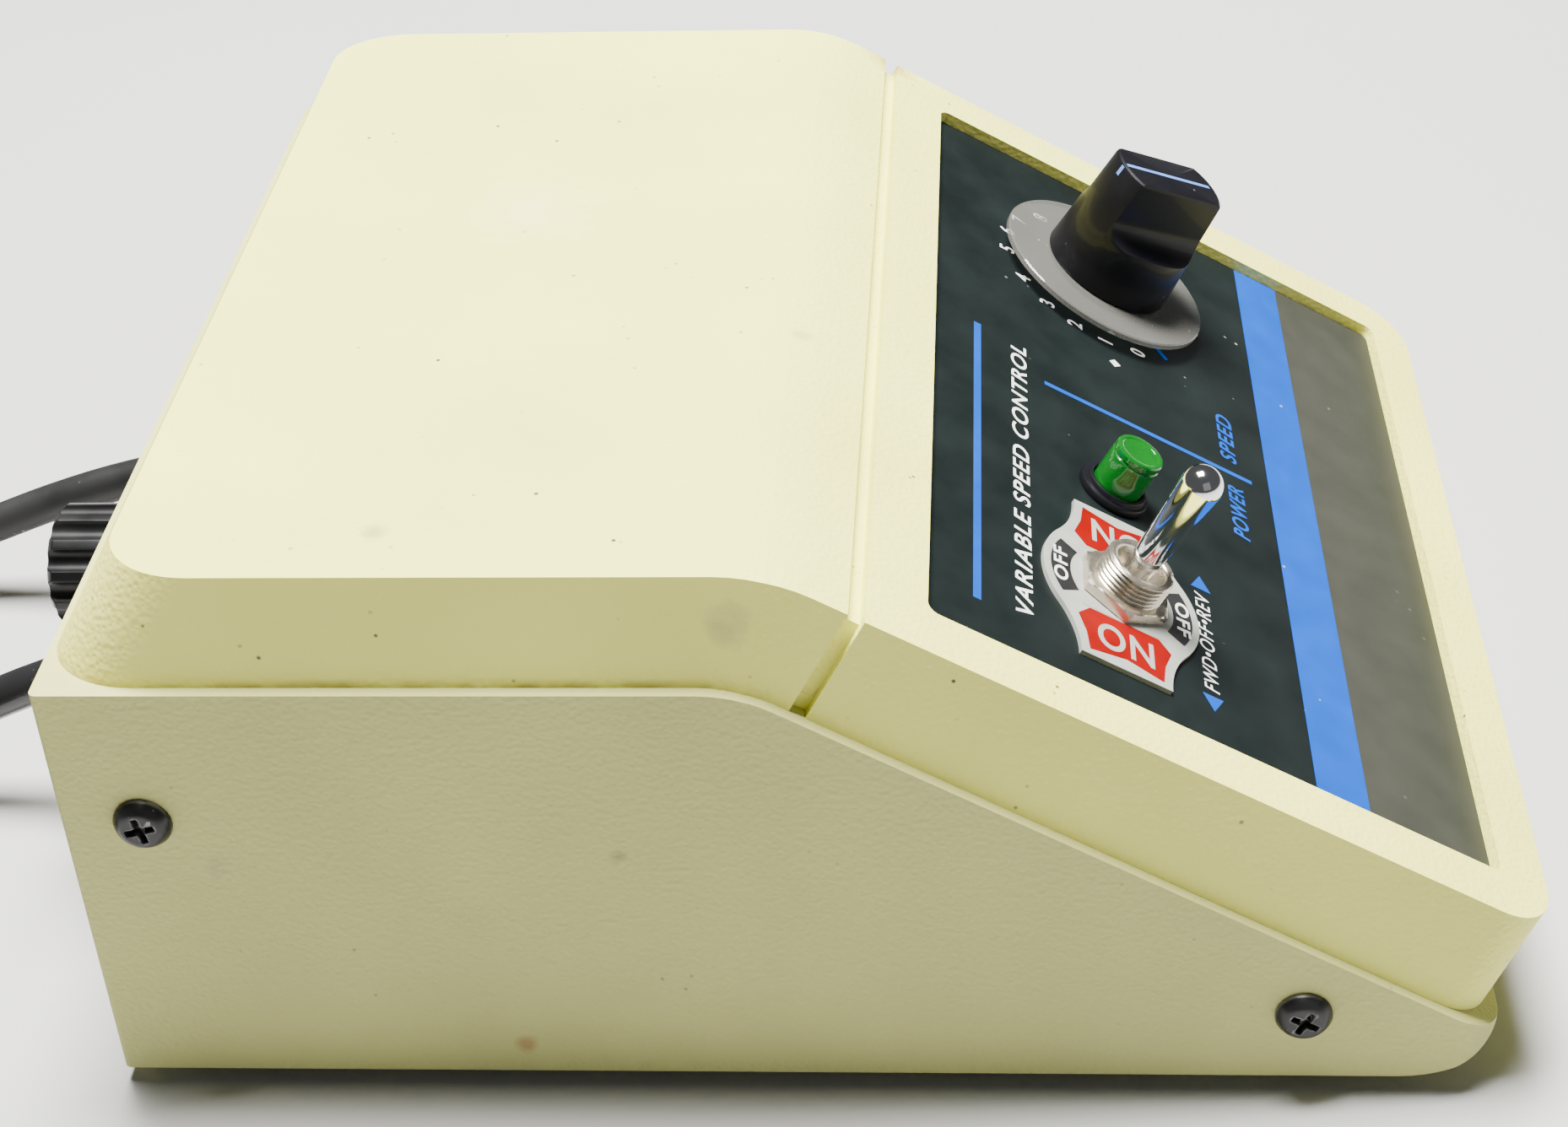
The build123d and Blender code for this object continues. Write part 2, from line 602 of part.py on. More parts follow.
with BuildPart() as pot_bushing:
    with BuildSketch(panel(KNOB_U, CTRL_S, FLOOR_O)):
        Circle(4.76)
        Circle(POT_SHAFT_R + 0.06, mode=Mode.SUBTRACT)
    extrude(amount=-0.1 - FLOOR_O)
finish(pot_bushing, "pot_bushing")

with BuildPart() as pot_nut:
    with BuildSketch(panel(KNOB_U, CTRL_S, PLATE_TOP)):
        RegularPolygon(12.7 / 2, 6, major_radius=False, rotation=10)
        Circle(4.76, mode=Mode.SUBTRACT)
    extrude(amount=1.7)
finish(pot_nut, "pot_nut")

with BuildPart() as pot_terminals:
    with BuildSketch(panel(KNOB_U, CTRL_S, FLOOR_O - 9.2)):
        with Locations((-5, -15.0), (0, -15.05), (5, -15.0)):
            Rectangle(2.4, 6.0)
    extrude(amount=0.8)
finish(pot_terminals, "pot_terminals")

with BuildPart() as pot_shaft:
    with BuildSketch(panel(KNOB_U, CTRL_S, FLOOR_O - 8.0)):
        Circle(POT_SHAFT_R)
    extrude(amount=8.0 - FLOOR_O + 17.0)
finish(pot_shaft, "pot_shaft")

with BuildPart() as knob_skirt:
    with BuildSketch(panel(KNOB_U, CTRL_S, SKIRT_O0)):
        Circle(SKIRT_R)
        Circle(POT_SHAFT_R + 0.02, mode=Mode.SUBTRACT)
    extrude(amount=SKIRT_T)
    chamfer(knob_skirt.edges().filter_by(GeomType.CIRCLE).sort_by(SortBy.RADIUS)[-1], 0.3)
finish(knob_skirt, "knob_skirt")

KB = SKIRT_O0 + SKIRT_T
KDIR = (-sin(radians(KNOB_ANGLE)), cos(radians(KNOB_ANGLE)))     # pointer, in panel x / up-slope
kx = (cos(radians(KNOB_ANGLE)), sin(radians(KNOB_ANGLE)))        # across the bar


def knob_plane(o):
    """plane at the knob axis, x across the bar, y along the pointer"""
    return Plane(origin=pp(KNOB_U, CTRL_S, o),
                 x_dir=(kx[0], kx[1] * cos(A), kx[1] * sin(A)), z_dir=N)


with BuildPart() as speed_knob:
    with BuildSketch(knob_plane(KB)):
        Circle(KNOB_R0)
    with BuildSketch(knob_plane(KNOB_TOP_O)):
        Circle(KNOB_R1)
    loft()
    # the grip bar: both flanks are cut away above the shelf
    for sx in (-1, 1):
        with BuildSketch(knob_plane(11.5)):
            with Locations((sx * (KNOB_BAR_HALF + 10), 0)):
                Rectangle(20, 40)
        extrude(amount=20, mode=Mode.SUBTRACT)
    with BuildSketch(knob_plane(KB)):
        Circle(POT_SHAFT_R + 0.02)
    extrude(amount=17.0 - KB, mode=Mode.SUBTRACT)
    # cross hole for the set screw, on the tail side
    with BuildSketch(Plane(origin=pp(KNOB_U, CTRL_S, 6.5), x_dir=N,
                           z_dir=(-KDIR[0], -KDIR[1] * cos(A), -KDIR[1] * sin(A)))):
        Circle(1.65)
    extrude(amount=20, mode=Mode.SUBTRACT)
finish(speed_knob, "speed_knob")

with BuildPart() as knob_set_screw:
    with BuildSketch(Plane(origin=pp(KNOB_U, CTRL_S, 6.5), x_dir=N,
                           z_dir=(-KDIR[0], -KDIR[1] * cos(A), -KDIR[1] * sin(A)))
                     .offset(POT_SHAFT_R + 0.02)):
        Circle(1.6)
    extrude(amount=7.0)
    with BuildSketch(Plane(origin=pp(KNOB_U, CTRL_S, 6.5), x_dir=N,
                           z_dir=(-KDIR[0], -KDIR[1] * cos(A), -KDIR[1] * sin(A)))
                     .offset(POT_SHAFT_R + 7.02)):
        RegularPolygon(0.8, 6)
    extrude(amount=-2.0, mode=Mode.SUBTRACT)
finish(knob_set_screw, "knob_set_screw")

# --- rear fuse holder ------------------------------------------------------
with BuildPart() as fuse_holder_body:
    with BuildSketch(rear(FUSE_X, FUSE_Z, -36.0)):
        Circle(6.3)
    extrude(amount=36.0)
    with BuildSketch(rear(FUSE_X, FUSE_Z, 0)):
        Circle(9.8)
    extrude(amount=2.6)
    with BuildSketch(rear(FUSE_X, FUSE_Z, 2.6)):
        Circle(5.35)
    extrude(amount=-10.6, mode=Mode.SUBTRACT)
    with BuildSketch(rear(FUSE_X, FUSE_Z, 2.6)):
        Circle(3.65)
    extrude(amount=-37.1, mode=Mode.SUBTRACT)
finish(fuse_holder_body, "fuse_holder_body")

with BuildPart() as fuse_holder_nut:
    with BuildSketch(rear(FUSE_X, FUSE_Z, -CASE_WALL)):
        RegularPolygon(8.4, 6, major_radius=False)
        Circle(6.3, mode=Mode.SUBTRACT)
    extrude(amount=-3.0)
finish(fuse_holder_nut, "fuse_holder_nut")

with BuildPart() as fuse_terminals:
    with BuildSketch(rear(FUSE_X, FUSE_Z, -36.0)):
        Rectangle(5.0, 0.8)
    extrude(amount=-9.0)
    with BuildSketch(Plane.XY.offset(Z(FUSE_Z - 6.3 - 7.0))):
        with Locations((FUSE_X, Y(-14.0))):
            Rectangle(5.0, 0.8)
    extrude(amount=7.0)
finish(fuse_terminals, "fuse_terminals")

with BuildPart() as fuse:
    with BuildSketch(rear(FUSE_X, FUSE_Z, -33.0)):
        Circle(3.175)
    extrude(amount=31.8)
finish(fuse, "fuse")

with BuildPart() as fuse_cap:
    with BuildSketch(rear(FUSE_X, FUSE_Z, 3.0)):
        Circle(CAP_R)
    extrude(amount=CAP_END - 3.0)
    chamfer(fuse_cap.edges().group_by(Axis.Y)[-1], 1.0)
    with BuildSketch(rear(FUSE_X, FUSE_Z, 2.0)):
        with PolarLocations(CAP_R + 0.55, 12, start_angle=9):
            Circle(1.95)
    extrude(amount=CAP_END, mode=Mode.SUBTRACT)
    with BuildSketch(rear(FUSE_X, FUSE_Z, 3.0)):
        Circle(5.0)
    extrude(amount=-9.5)
    with BuildSketch(rear(FUSE_X, FUSE_Z, -6.5)):
        Circle(3.55)
    extrude(amount=6.0, mode=Mode.SUBTRACT)
finish(fuse_cap, "fuse_cap")

# --- screws and feet -------------------------------------------------------
with BuildPart() as case_screws:
    for sx in (-1, 1):
        for yc, zc in SCREW_POS:
            hp = Plane(origin=(sx * HALF, Y(yc), Z(zc)), x_dir=(0, 1, 0), z_dir=(sx, 0, 0))
            with BuildSketch(hp):
                Circle(4.5)
            with BuildSketch(hp.offset(2.3)):
                Circle(3.1)
            loft()
            with BuildSketch(hp):
                Circle(1.95)
            extrude(amount=-9.5)
            with BuildSketch(hp.offset(2.3)):
                Rectangle(4.2, 0.9)
                Rectangle(0.9, 4.2)
            extrude(amount=-1.4, mode=Mode.SUBTRACT)
finish(case_screws, "case_screws")

with BuildPart() as rubber_feet:
    for x, y in FOOT_POS:
        with BuildSketch(Plane.XY):
            with Locations((x, Y(y))):
                Circle(7.4)
        with BuildSketch(Plane.XY.offset(FOOT_H)):
            with Locations((x, Y(y))):
                Circle(8.0)
        loft()
    with BuildSketch(Plane.XY):
        with Locations(*[(x, Y(y)) for x, y in FOOT_POS]):
            Circle(3.9)
    extrude(amount=1.6, mode=Mode.SUBTRACT)
    with BuildSketch(Plane.XY):
        with Locations(*[(x, Y(y)) for x, y in FOOT_POS]):
            Circle(1.7)
    extrude(amount=4, mode=Mode.SUBTRACT)
finish(rubber_feet, "rubber_feet")

with BuildPart() as foot_screws:
    with BuildSketch(Plane.XY.offset(0.5)):
        with Locations(*[(x, Y(y)) for x, y in FOOT_POS]):
            Circle(3.2)
    extrude(amount=1.1)
    with BuildSketch(Plane.XY.offset(1.6)):
        with Locations(*[(x, Y(y)) for x, y in FOOT_POS]):
            Circle(1.6)
    extrude(amount=7.0)
    with BuildSketch(Plane.XY.offset(0.5)):
        with Locations(*[(x, Y(y)) for x, y in FOOT_POS]):
            Rectangle(3.4, 0.7)
            Rectangle(0.7, 3.4)
    extrude(amount=0.7, mode=Mode.SUBTRACT)
finish(foot_screws, "foot_screws")

# ---------------------------------------------------------------------------
# electronics
# ---------------------------------------------------------------------------
BZ = Z(BOARD_Z)
BT = BZ + BOARD_T
BCX, BCY = (BOARD_X0 + BOARD_X1) / 2, (BOARD_Y0 + BOARD_Y1) / 2


def floor_plane(dz=0.0):
    return Plane.XY.offset(BT + dz)


with BuildPart() as circuit_board:
    with BuildSketch(Plane.XY.offset(BZ)) as sk:
        with Locations((BCX, Y(BCY))):
            RectangleRounded(BOARD_X1 - BOARD_X0, BOARD_Y1 - BOARD_Y0, 2.0)
        with Locations(*[(x, Y(y)) for x, y in BOSS_POS]):
            Circle(1.6, mode=Mode.SUBTRACT)
    extrude(amount=BOARD_T)
finish(circuit_board, "circuit_board")

with BuildPart() as board_screws:
    with BuildSketch(floor_plane()):
        with Locations(*[(x, Y(y)) for x, y in BOSS_POS]):
            Circle(2.9)
    extrude(amount=1.9)
    with BuildSketch(floor_plane()):
        with Locations(*[(x, Y(y)) for x, y in BOSS_POS]):
            Circle(1.25)
    extrude(amount=-8.0)
    with BuildSketch(floor_plane(1.9)):
        with Locations(*[(x, Y(y)) for x, y in BOSS_POS]):
            Rectangle(3.2, 0.7)
            Rectangle(0.7, 3.2)
    extrude(amount=-0.9, mode=Mode.SUBTRACT)
finish(board_screws, "board_screws")

TX, TY = 40.0, -86.0
with BuildPart() as transformer_core:
    with BuildSketch(Plane.XZ.offset(-Y(TY + 11))):
        with Locations((TX, BT + 19.0)):
            Rectangle(46.0, 38.0)
            with Locations((-11.5, 0), (11.5, 0)):
                Rectangle(8.0, 24.0, mode=Mode.SUBTRACT)
    extrude(amount=22.0)
finish(transformer_core, "transformer_core")

with BuildPart() as transformer_coil:
    with BuildSketch(Plane.XY.offset(BT + 7.2)):
        with Locations((TX, Y(TY))):
            Rectangle(30.6, 36.0)
            Rectangle(15.4, 22.4, mode=Mode.SUBTRACT)
    extrude(amount=23.6)
finish(transformer_coil, "transformer_coil")

HX, HY = -18.0, -100.0
with BuildPart() as heatsink:
    with BuildSketch(floor_plane()):
        with Locations((HX, Y(HY))):
            Rectangle(62.0, 4.0)
        with Locations(*[(HX - 29 + 5.8 * i, Y(HY - 8)) for i in range(11)]):
            Rectangle(1.4, 12.0)
    extrude(amount=30.0)
    with BuildSketch(Plane.XZ.offset(-Y(HY + 5))):
        with Locations(*[(HX + dx, BT + 17.0) for dx in (-20, 0, 20)]):
            Circle(1.3)
    extrude(amount=20, mode=Mode.SUBTRACT)
finish(heatsink, "heatsink")

with BuildPart() as power_transistors:
    for dx in (-20, 0, 20):
        with BuildSketch(Plane.XZ.offset(-Y(HY + 2))):
            with Locations((HX + dx, BT + 15.5)):
                Rectangle(10.0, 9.0)
        extrude(amount=-4.4)
        with BuildSketch(Plane.XZ.offset(-Y(HY + 2))):
            with Locations((HX + dx, BT + 13.0)):
                Rectangle(10.0, 14.0)
        extrude(amount=-1.3)
        with BuildSketch(floor_plane()):
            with Locations(*[(HX + dx + k, Y(HY + 4.6)) for k in (-2.5, 0, 2.5)]):
                Rectangle(0.8, 0.6)
        extrude(amount=12.0)
        with BuildSketch(Plane.XZ.offset(-Y(HY + 8))):
            with Locations((HX + dx, BT + 17.0)):
                Circle(1.35)
        extrude(amount=20, mode=Mode.SUBTRACT)
finish(power_transistors, "power_transistors")

with BuildPart() as heatsink_screws:
    for dx in (-20, 0, 20):
        with BuildSketch(Plane.XZ.offset(-Y(HY + 6.4))):
            with Locations((HX + dx, BT + 17.0)):
                Circle(2.4)
        extrude(amount=-1.6)
        with BuildSketch(Plane.XZ.offset(-Y(HY + 6.4))):
            with Locations((HX + dx, BT + 17.0)):
                Circle(1.25)
        extrude(amount=8.0)
finish(heatsink_screws, "heatsink_screws")

with BuildPart() as filter_capacitors:
    with BuildSketch(floor_plane()):
        with Locations((-56, Y(-72)), (-56, Y(-48))):
            Circle(10.5)
    extrude(amount=30.0)
finish(filter_capacitors, "filter_capacitors")

with BuildPart() as relay:
    with BuildSketch(floor_plane()):
        with Locations((-22, Y(-72))):
            RectangleRounded(28.0, 13.0, 1.0)
    extrude(amount=20.0)
    fillet(relay.faces().sort_by(Axis.Z)[-1].edges(), 0.8)
finish(relay, "relay")

with BuildPart() as terminal_block:
    with BuildSketch(floor_plane()):
        with Locations((14, Y(-42))):
            Rectangle(50.0, 13.0)
    extrude(amount=12.0)
    with BuildSketch(floor_plane(12.0)):
        with Locations(*[(14 - 20.5 + 8.2 * i, Y(-42)) for i in range(6)]):
            Circle(2.6)
    extrude(amount=-5.0, mode=Mode.SUBTRACT)
    with BuildSketch(Plane.XZ.offset(-Y(-35.5))):
        with Locations(*[(14 - 20.5 + 8.2 * i, BT + 3.6) for i in range(6)]):
            Rectangle(4.4, 4.0)
    extrude(amount=7.0, mode=Mode.SUBTRACT)
finish(terminal_block, "terminal_block")

with BuildPart() as terminal_screws:
    with BuildSketch(floor_plane(7.0)):
        with Locations(*[(14 - 20.5 + 8.2 * i, Y(-42)) for i in range(6)]):
            Circle(2.4)
    extrude(amount=2.6)
    with BuildSketch(floor_plane(9.6)):
        with Locations(*[(14 - 20.5 + 8.2 * i, Y(-42)) for i in range(6)]):
            Rectangle(4.0, 0.7)
    extrude(amount=-0.9, mode=Mode.SUBTRACT)
finish(terminal_screws, "terminal_screws")

with BuildPart() as trim_pots:
    for dx in (0, 15, 30):
        with BuildSketch(floor_plane()):
            with Locations((-62 + dx, Y(-120))):
                Rectangle(9.5, 10.0)
        extrude(amount=5.0)
        with BuildSketch(floor_plane(5.0)):
            with Locations((-62 + dx, Y(-120))):
                Circle(3.4)
        extrude(amount=1.2)
        with BuildSketch(floor_plane(6.2)):
            with Locations((-62 + dx, Y(-120))):
                Rectangle(5.6, 0.8)
        extrude(amount=-0.8, mode=Mode.SUBTRACT)
finish(trim_pots, "trim_pots")

with BuildPart() as power_resistor:
    with BuildSketch(floor_plane(1.5)):
        with Locations((42, Y(-116))):
            Rectangle(34.0, 9.5)
    extrude(amount=9.5)
    with BuildSketch(floor_plane()):
        with Locations((27.5, Y(-116)), (56.5, Y(-116))):
            Rectangle(1.6, 5.0)
    extrude(amount=1.5)
finish(power_resistor, "power_resistor")

with BuildPart() as control_chips:
    for x in (-14.0, 10.0):
        with BuildSketch(floor_plane(0.7)):
            with Locations((x, Y(-126))):
                Rectangle(19.0, 6.4)
        extrude(amount=3.4)
        with BuildSketch(floor_plane()):
            with Locations(*[(x - 7.62 + 2.54 * i, Y(-126) + d) for i in range(7) for d in (-3.6, 3.6)]):
                Rectangle(0.9, 0.8)
        extrude(amount=2.6)
finish(control_chips, "control_chips")


# ---------------------------------------------------------------------------
# cords
# ---------------------------------------------------------------------------
TILT = radians(RELIEF_TILT)
POWER_COIL_R = 43.2     # middle of the turns
MOTOR_COIL_R = 40.2
TURN = 2 * CORD_R + 0.2
COIL_H = 3 * TURN


def relief_plane(x, zc, d=0.0):
    return Plane(origin=(x, Y(d * cos(TILT)), Z(zc) - d * sin(TILT)), x_dir=(-1, 0, 0),
                 z_dir=(0, cos(TILT), -sin(TILT)))


def cord_tube(points, name):
    """straight runs joined by the largest even arcs; returns solid and length"""
    pts = [Vector(*p) for p in points]
    radii = []
    for a, b, c in zip(pts, pts[1:], pts[2:]):
        v1, v2 = b - a, c - b
        turn = radians(v1.get_angle(v2))
        radii.append(0.45 * min(v1.length, v2.length) / tan(turn / 2))
    with BuildPart() as t:
        with BuildLine() as path:
            FilletPolyline(*pts, radius=radii)
        L = path.wires()[0].length if path.wires() else sum(e.length for e in path.edges())
        d0 = (pts[1] - pts[0]).normalized()
        with BuildSketch(Plane(origin=pts[0], z_dir=d0)):
            Circle(CORD_R)
        sweep(path=path.wires()[0])
    print(name, "length", round(L, 1), "volume/section*length",
          round(t.part.volume / (pi * CORD_R ** 2 * L), 4), "radii", [round(r, 1) for r in radii])
    return t


def yz(points):
    return [(x, Y(y), z) for x, y, z in points]


POWER_ROUTE = yz([(-24, 0, 33.0), (-24, 20, 29.4), (-24.3, 46, 18.0), (-25.6, 66, 7.6),
                  (-25.2, 84, 3.75), (-24.6, 94, 3.75)])
MOTOR_ROUTE = yz([(38, 0, 33.0), (38, 18, 29.7), (38.7, 42, 22.9), (37.4, 68, 12.4),
               (37.6, 92, 4.6), (38.4, 110, 3.75)])
PC = (-71.6, 107.0)      # power coil centre
MC = (82.5, 130.5)       # motor coil centre


def tail_route(c, r, m, end_z):
    """from the top outer turn, up over the coil to the plug lying on it"""
    out = []
    for i in range(12):
        a = radians(-174 + 24 * i)
        z = (21.0, 24.0, 26.6, 27.0, 27.0, 27.0, 27.0, 27.3, 0.2, 0.47, 0.78, 1.0)[i]
        if i > 7:
            z = 27.3 + z * (end_z - 27.3)
        out.append((c[0] + m * (r + 4.0) * cos(a), Y(c[1] + (r + 4.0) * sin(a)), z))
    return out


def coil_solid(c, r):
    with BuildPart() as b:
        with BuildSketch(Plane.XY):
            with Locations((c[0], Y(c[1]))):
                Circle(r + TURN)
                Circle(r - TURN, mode=Mode.SUBTRACT)
        extrude(amount=COIL_H)
        fillet(b.edges().filter_by(GeomType.CIRCLE), 3.0)
    return b


def tie_solid(c, r, m, deg):
    a = radians(deg)
    o = (c[0] + m * r * cos(a), Y(c[1] + r * sin(a)), COIL_H / 2 + 0.05)
    pl = Plane(origin=o, x_dir=(m * cos(a), sin(a), 0), z_dir=(-m * sin(a), cos(a), 0))
    with BuildPart() as b:
        with BuildSketch(pl):
            RectangleRounded(2 * TURN + 2.2, COIL_H + 1.6, 3.2)
            RectangleRounded(2 * TURN + 0.4, COIL_H - 0.2, 2.6, mode=Mode.SUBTRACT)
        extrude(amount=5.0, both=True)
        with BuildSketch(Plane.XY):
            with Locations((c[0], Y(c[1]))):
                Circle(90)
        extrude(amount=60, mode=Mode.INTERSECT)
    return b


def strain_relief(x, zc):
    with BuildPart() as b:
        # flange against the wall, grooved neck through it, tapered tail outside
        with BuildSketch(rear(x, zc, 0)):
            Circle(8.2)
        extrude(amount=3.4)
        with BuildSketch(rear(x, zc, -CASE_WALL - 2.4)):
            Circle(5.9)
        extrude(amount=CASE_WALL + 3.0)
        with BuildSketch(rear(x, zc, -CASE_WALL)):
            Circle(7.4)
        extrude(amount=-2.4)
        with BuildSketch(relief_plane(x, zc, 2.2)):
            Circle(6.9)
        with BuildSketch(relief_plane(x, zc, 22.0)):
            Circle(4.75)
        loft()
        with BuildSketch(relief_plane(x, zc, -10)):
            Circle(CORD_R)
        extrude(amount=50, mode=Mode.SUBTRACT)
    return b


power_relief = strain_relief(POWER_X, POWER_Z)
finish(power_relief, "power_strain_relief")
motor_relief = strain_relief(MOTOR_X, MOTOR_Z)
finish(motor_relief, "motor_strain_relief")

power_cord = cord_tube(POWER_ROUTE, "power_cord")
finish(power_cord, "power_cord")
motor_cord = cord_tube(MOTOR_ROUTE, "motor_cord")
finish(motor_cord, "motor_cord")
power_coil = coil_solid(PC, POWER_COIL_R)
finish(power_coil, "power_coil")
motor_coil = coil_solid(MC, MOTOR_COIL_R)
finish(motor_coil, "motor_coil")
power_tie = tie_solid(PC, POWER_COIL_R, 1, 200)
finish(power_tie, "power_tie")
motor_tie = tie_solid(MC, MOTOR_COIL_R, -1, 200)
finish(motor_tie, "motor_tie")
PLUG_Z, CONN_Z = COIL_H + 11.0, COIL_H + 9.4
POWER_TAIL = tail_route(PC, POWER_COIL_R, 1, PLUG_Z)
MOTOR_TAIL = tail_route(MC, MOTOR_COIL_R, -1, CONN_Z)
power_tail = cord_tube(POWER_TAIL, "power_tail")
finish(power_tail, "power_tail")
motor_tail = cord_tube(MOTOR_TAIL, "motor_tail")
finish(motor_tail, "motor_tail")

# mains plug, lying on its coil, blades towards -X
px0, py0 = POWER_TAIL[-1][0], POWER_TAIL[-1][1]


def along(x, y, z, m):
    """plane facing away from the coil's tail, -m*X"""
    return Plane(origin=(x, y, z), x_dir=(0, 1, 0), z_dir=(-m, 0, 0))


with BuildPart() as power_plug:
    with BuildSketch(along(px0, py0, PLUG_Z, 1)):
        Circle(5.2)
    with BuildSketch(along(px0 - 14, py0, PLUG_Z, 1)):
        Circle(7.6)
    loft()
    with BuildSketch(along(px0 - 14, py0, PLUG_Z, 1)):
        RectangleRounded(24.0, 20.0, 7.0)
    with BuildSketch(along(px0 - 34, py0, PLUG_Z, 1)):
        RectangleRounded(27.0, 22.0, 6.0)
    loft()
    with BuildSketch(along(px0 - 34, py0, PLUG_Z, 1)):
        RectangleRounded(27.0, 22.0, 6.0)
    extrude(amount=4.0)
finish(power_plug, "power_plug")

with BuildPart() as plug_blades:
    with BuildSketch(along(px0 - 38, py0, PLUG_Z, 1)):
        with Locations((-6.35, 2.5), (6.35, 2.5)):
            Rectangle(1.6, 6.6)
    extrude(amount=16.5)
    with BuildSketch(along(px0 - 38, py0, PLUG_Z, 1)):
        with Locations((0, -6.0)):
            Circle(2.4)
    extrude(amount=19.0)
finish(plug_blades, "plug_blades")

mx0, my0 = MOTOR_TAIL[-1][0], MOTOR_TAIL[-1][1]
with BuildPart() as motor_connector:
    with BuildSketch(along(mx0, my0, CONN_Z, -1)):
        Circle(5.4)
    with BuildSketch(along(mx0 + 12, my0, CONN_Z, -1)):
        Circle(7.6)
    loft()
    with BuildSketch(along(mx0 + 12, my0, CONN_Z, -1)):
        Circle(8.6)
    extrude(amount=16.0)
    with BuildSketch(along(mx0 + 28, my0, CONN_Z, -1)):
        Circle(9.4)
    extrude(amount=12.0)
    with BuildSketch(along(mx0 + 40, my0, CONN_Z, -1)):
        Circle(7.6)
    extrude(amount=-10.0, mode=Mode.SUBTRACT)
finish(motor_connector, "motor_connector")

with BuildPart() as connector_pins:
    with BuildSketch(along(mx0 + 30, my0, CONN_Z, -1)):
        with PolarLocations(4.9, 4):
            Circle(0.9)
    extrude(amount=8.0)
finish(connector_pins, "connector_pins")
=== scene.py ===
import bpy, bmesh, json
from math import sin, cos, tan, radians, pi, sqrt, atan2
from mathutils import Vector, Matrix

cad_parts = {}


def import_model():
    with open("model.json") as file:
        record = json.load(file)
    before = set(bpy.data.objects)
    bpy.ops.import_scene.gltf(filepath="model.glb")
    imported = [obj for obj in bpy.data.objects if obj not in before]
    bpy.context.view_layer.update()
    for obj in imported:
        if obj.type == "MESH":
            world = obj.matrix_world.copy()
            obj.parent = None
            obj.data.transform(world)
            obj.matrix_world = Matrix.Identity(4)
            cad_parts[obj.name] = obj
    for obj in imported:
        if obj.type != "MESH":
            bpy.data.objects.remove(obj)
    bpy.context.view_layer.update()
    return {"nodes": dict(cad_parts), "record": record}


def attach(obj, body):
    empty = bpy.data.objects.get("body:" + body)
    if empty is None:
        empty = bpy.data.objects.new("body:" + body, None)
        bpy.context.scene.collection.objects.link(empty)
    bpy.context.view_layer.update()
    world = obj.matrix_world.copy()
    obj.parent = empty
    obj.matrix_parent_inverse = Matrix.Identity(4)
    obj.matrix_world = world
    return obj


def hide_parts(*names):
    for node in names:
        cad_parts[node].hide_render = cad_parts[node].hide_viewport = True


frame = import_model()
nodes = frame["nodes"]

# ---------------------------------------------------------------- dimensions
YB, FOOT = 103.85, 3.0
A = radians(30.0)
N = Vector((0, -sin(A), cos(A)))
UP = Vector((0, cos(A), sin(A)))       # up the slope
GROOVE_Y, COVER_TOP_Z, COVER_KNEE_Y = -117.8, 93.0, -106.4
PLATE_TOP = -2.0
TOGGLE_U, LAMP_U, KNOB_U, CTRL_S = -52.0, -23.2, 45.8, 47.5
CORD_R = 3.75
MM = 0.001


def W(x, yc, z):
    """case coordinates (depth from the rear face, height over the bench) in mm to metres"""
    return Vector((x, yc + YB, z)) * MM


def pp(u, s, o):
    yc = GROOVE_Y - s * cos(A)
    z = COVER_TOP_Z - tan(A) * (COVER_KNEE_Y - yc) + FOOT
    return Vector((u, YB + yc - o * sin(A), z + o * cos(A))) * MM


def frame_mat(origin, x, z):
    z = z.normalized(); x = (x - z * x.dot(z)).normalized(); y = z.cross(x)
    m = Matrix((x, y, z)).transposed().to_4x4()
    m.translation = origin
    return m


def panel_mat(u, s, o, deg=0.0):
    x = Vector((cos(radians(deg)), sin(radians(deg)) * cos(A), sin(radians(deg)) * sin(A)))
    return frame_mat(pp(u, s, o), x, N)


# ---------------------------------------------------------------- camera
cam_d = bpy.data.cameras.new("camera")
cam = bpy.data.objects.new("camera", cam_d)
bpy.context.scene.collection.objects.link(cam)
fw = Vector((0.82444776, 0.04872932, -0.56383628))
rt = Vector((0.03819843, -0.9988056, -0.03046719))
up = Vector((0.56464748, -0.00358094, 0.82532442))
cm = Matrix((rt, up, -fw)).transposed().to_4x4()
cm.translation = Vector((-386.315, -137.064 + YB, 307.652 + FOOT)) * MM
cam.matrix_world = cm
cam_d.sensor_width = 36.0
cam_d.lens = 60.67
cam_d.shift_x = -0.0463
cam_d.shift_y = -0.0398
cam_d.clip_start = 0.01
bpy.context.scene.camera = cam


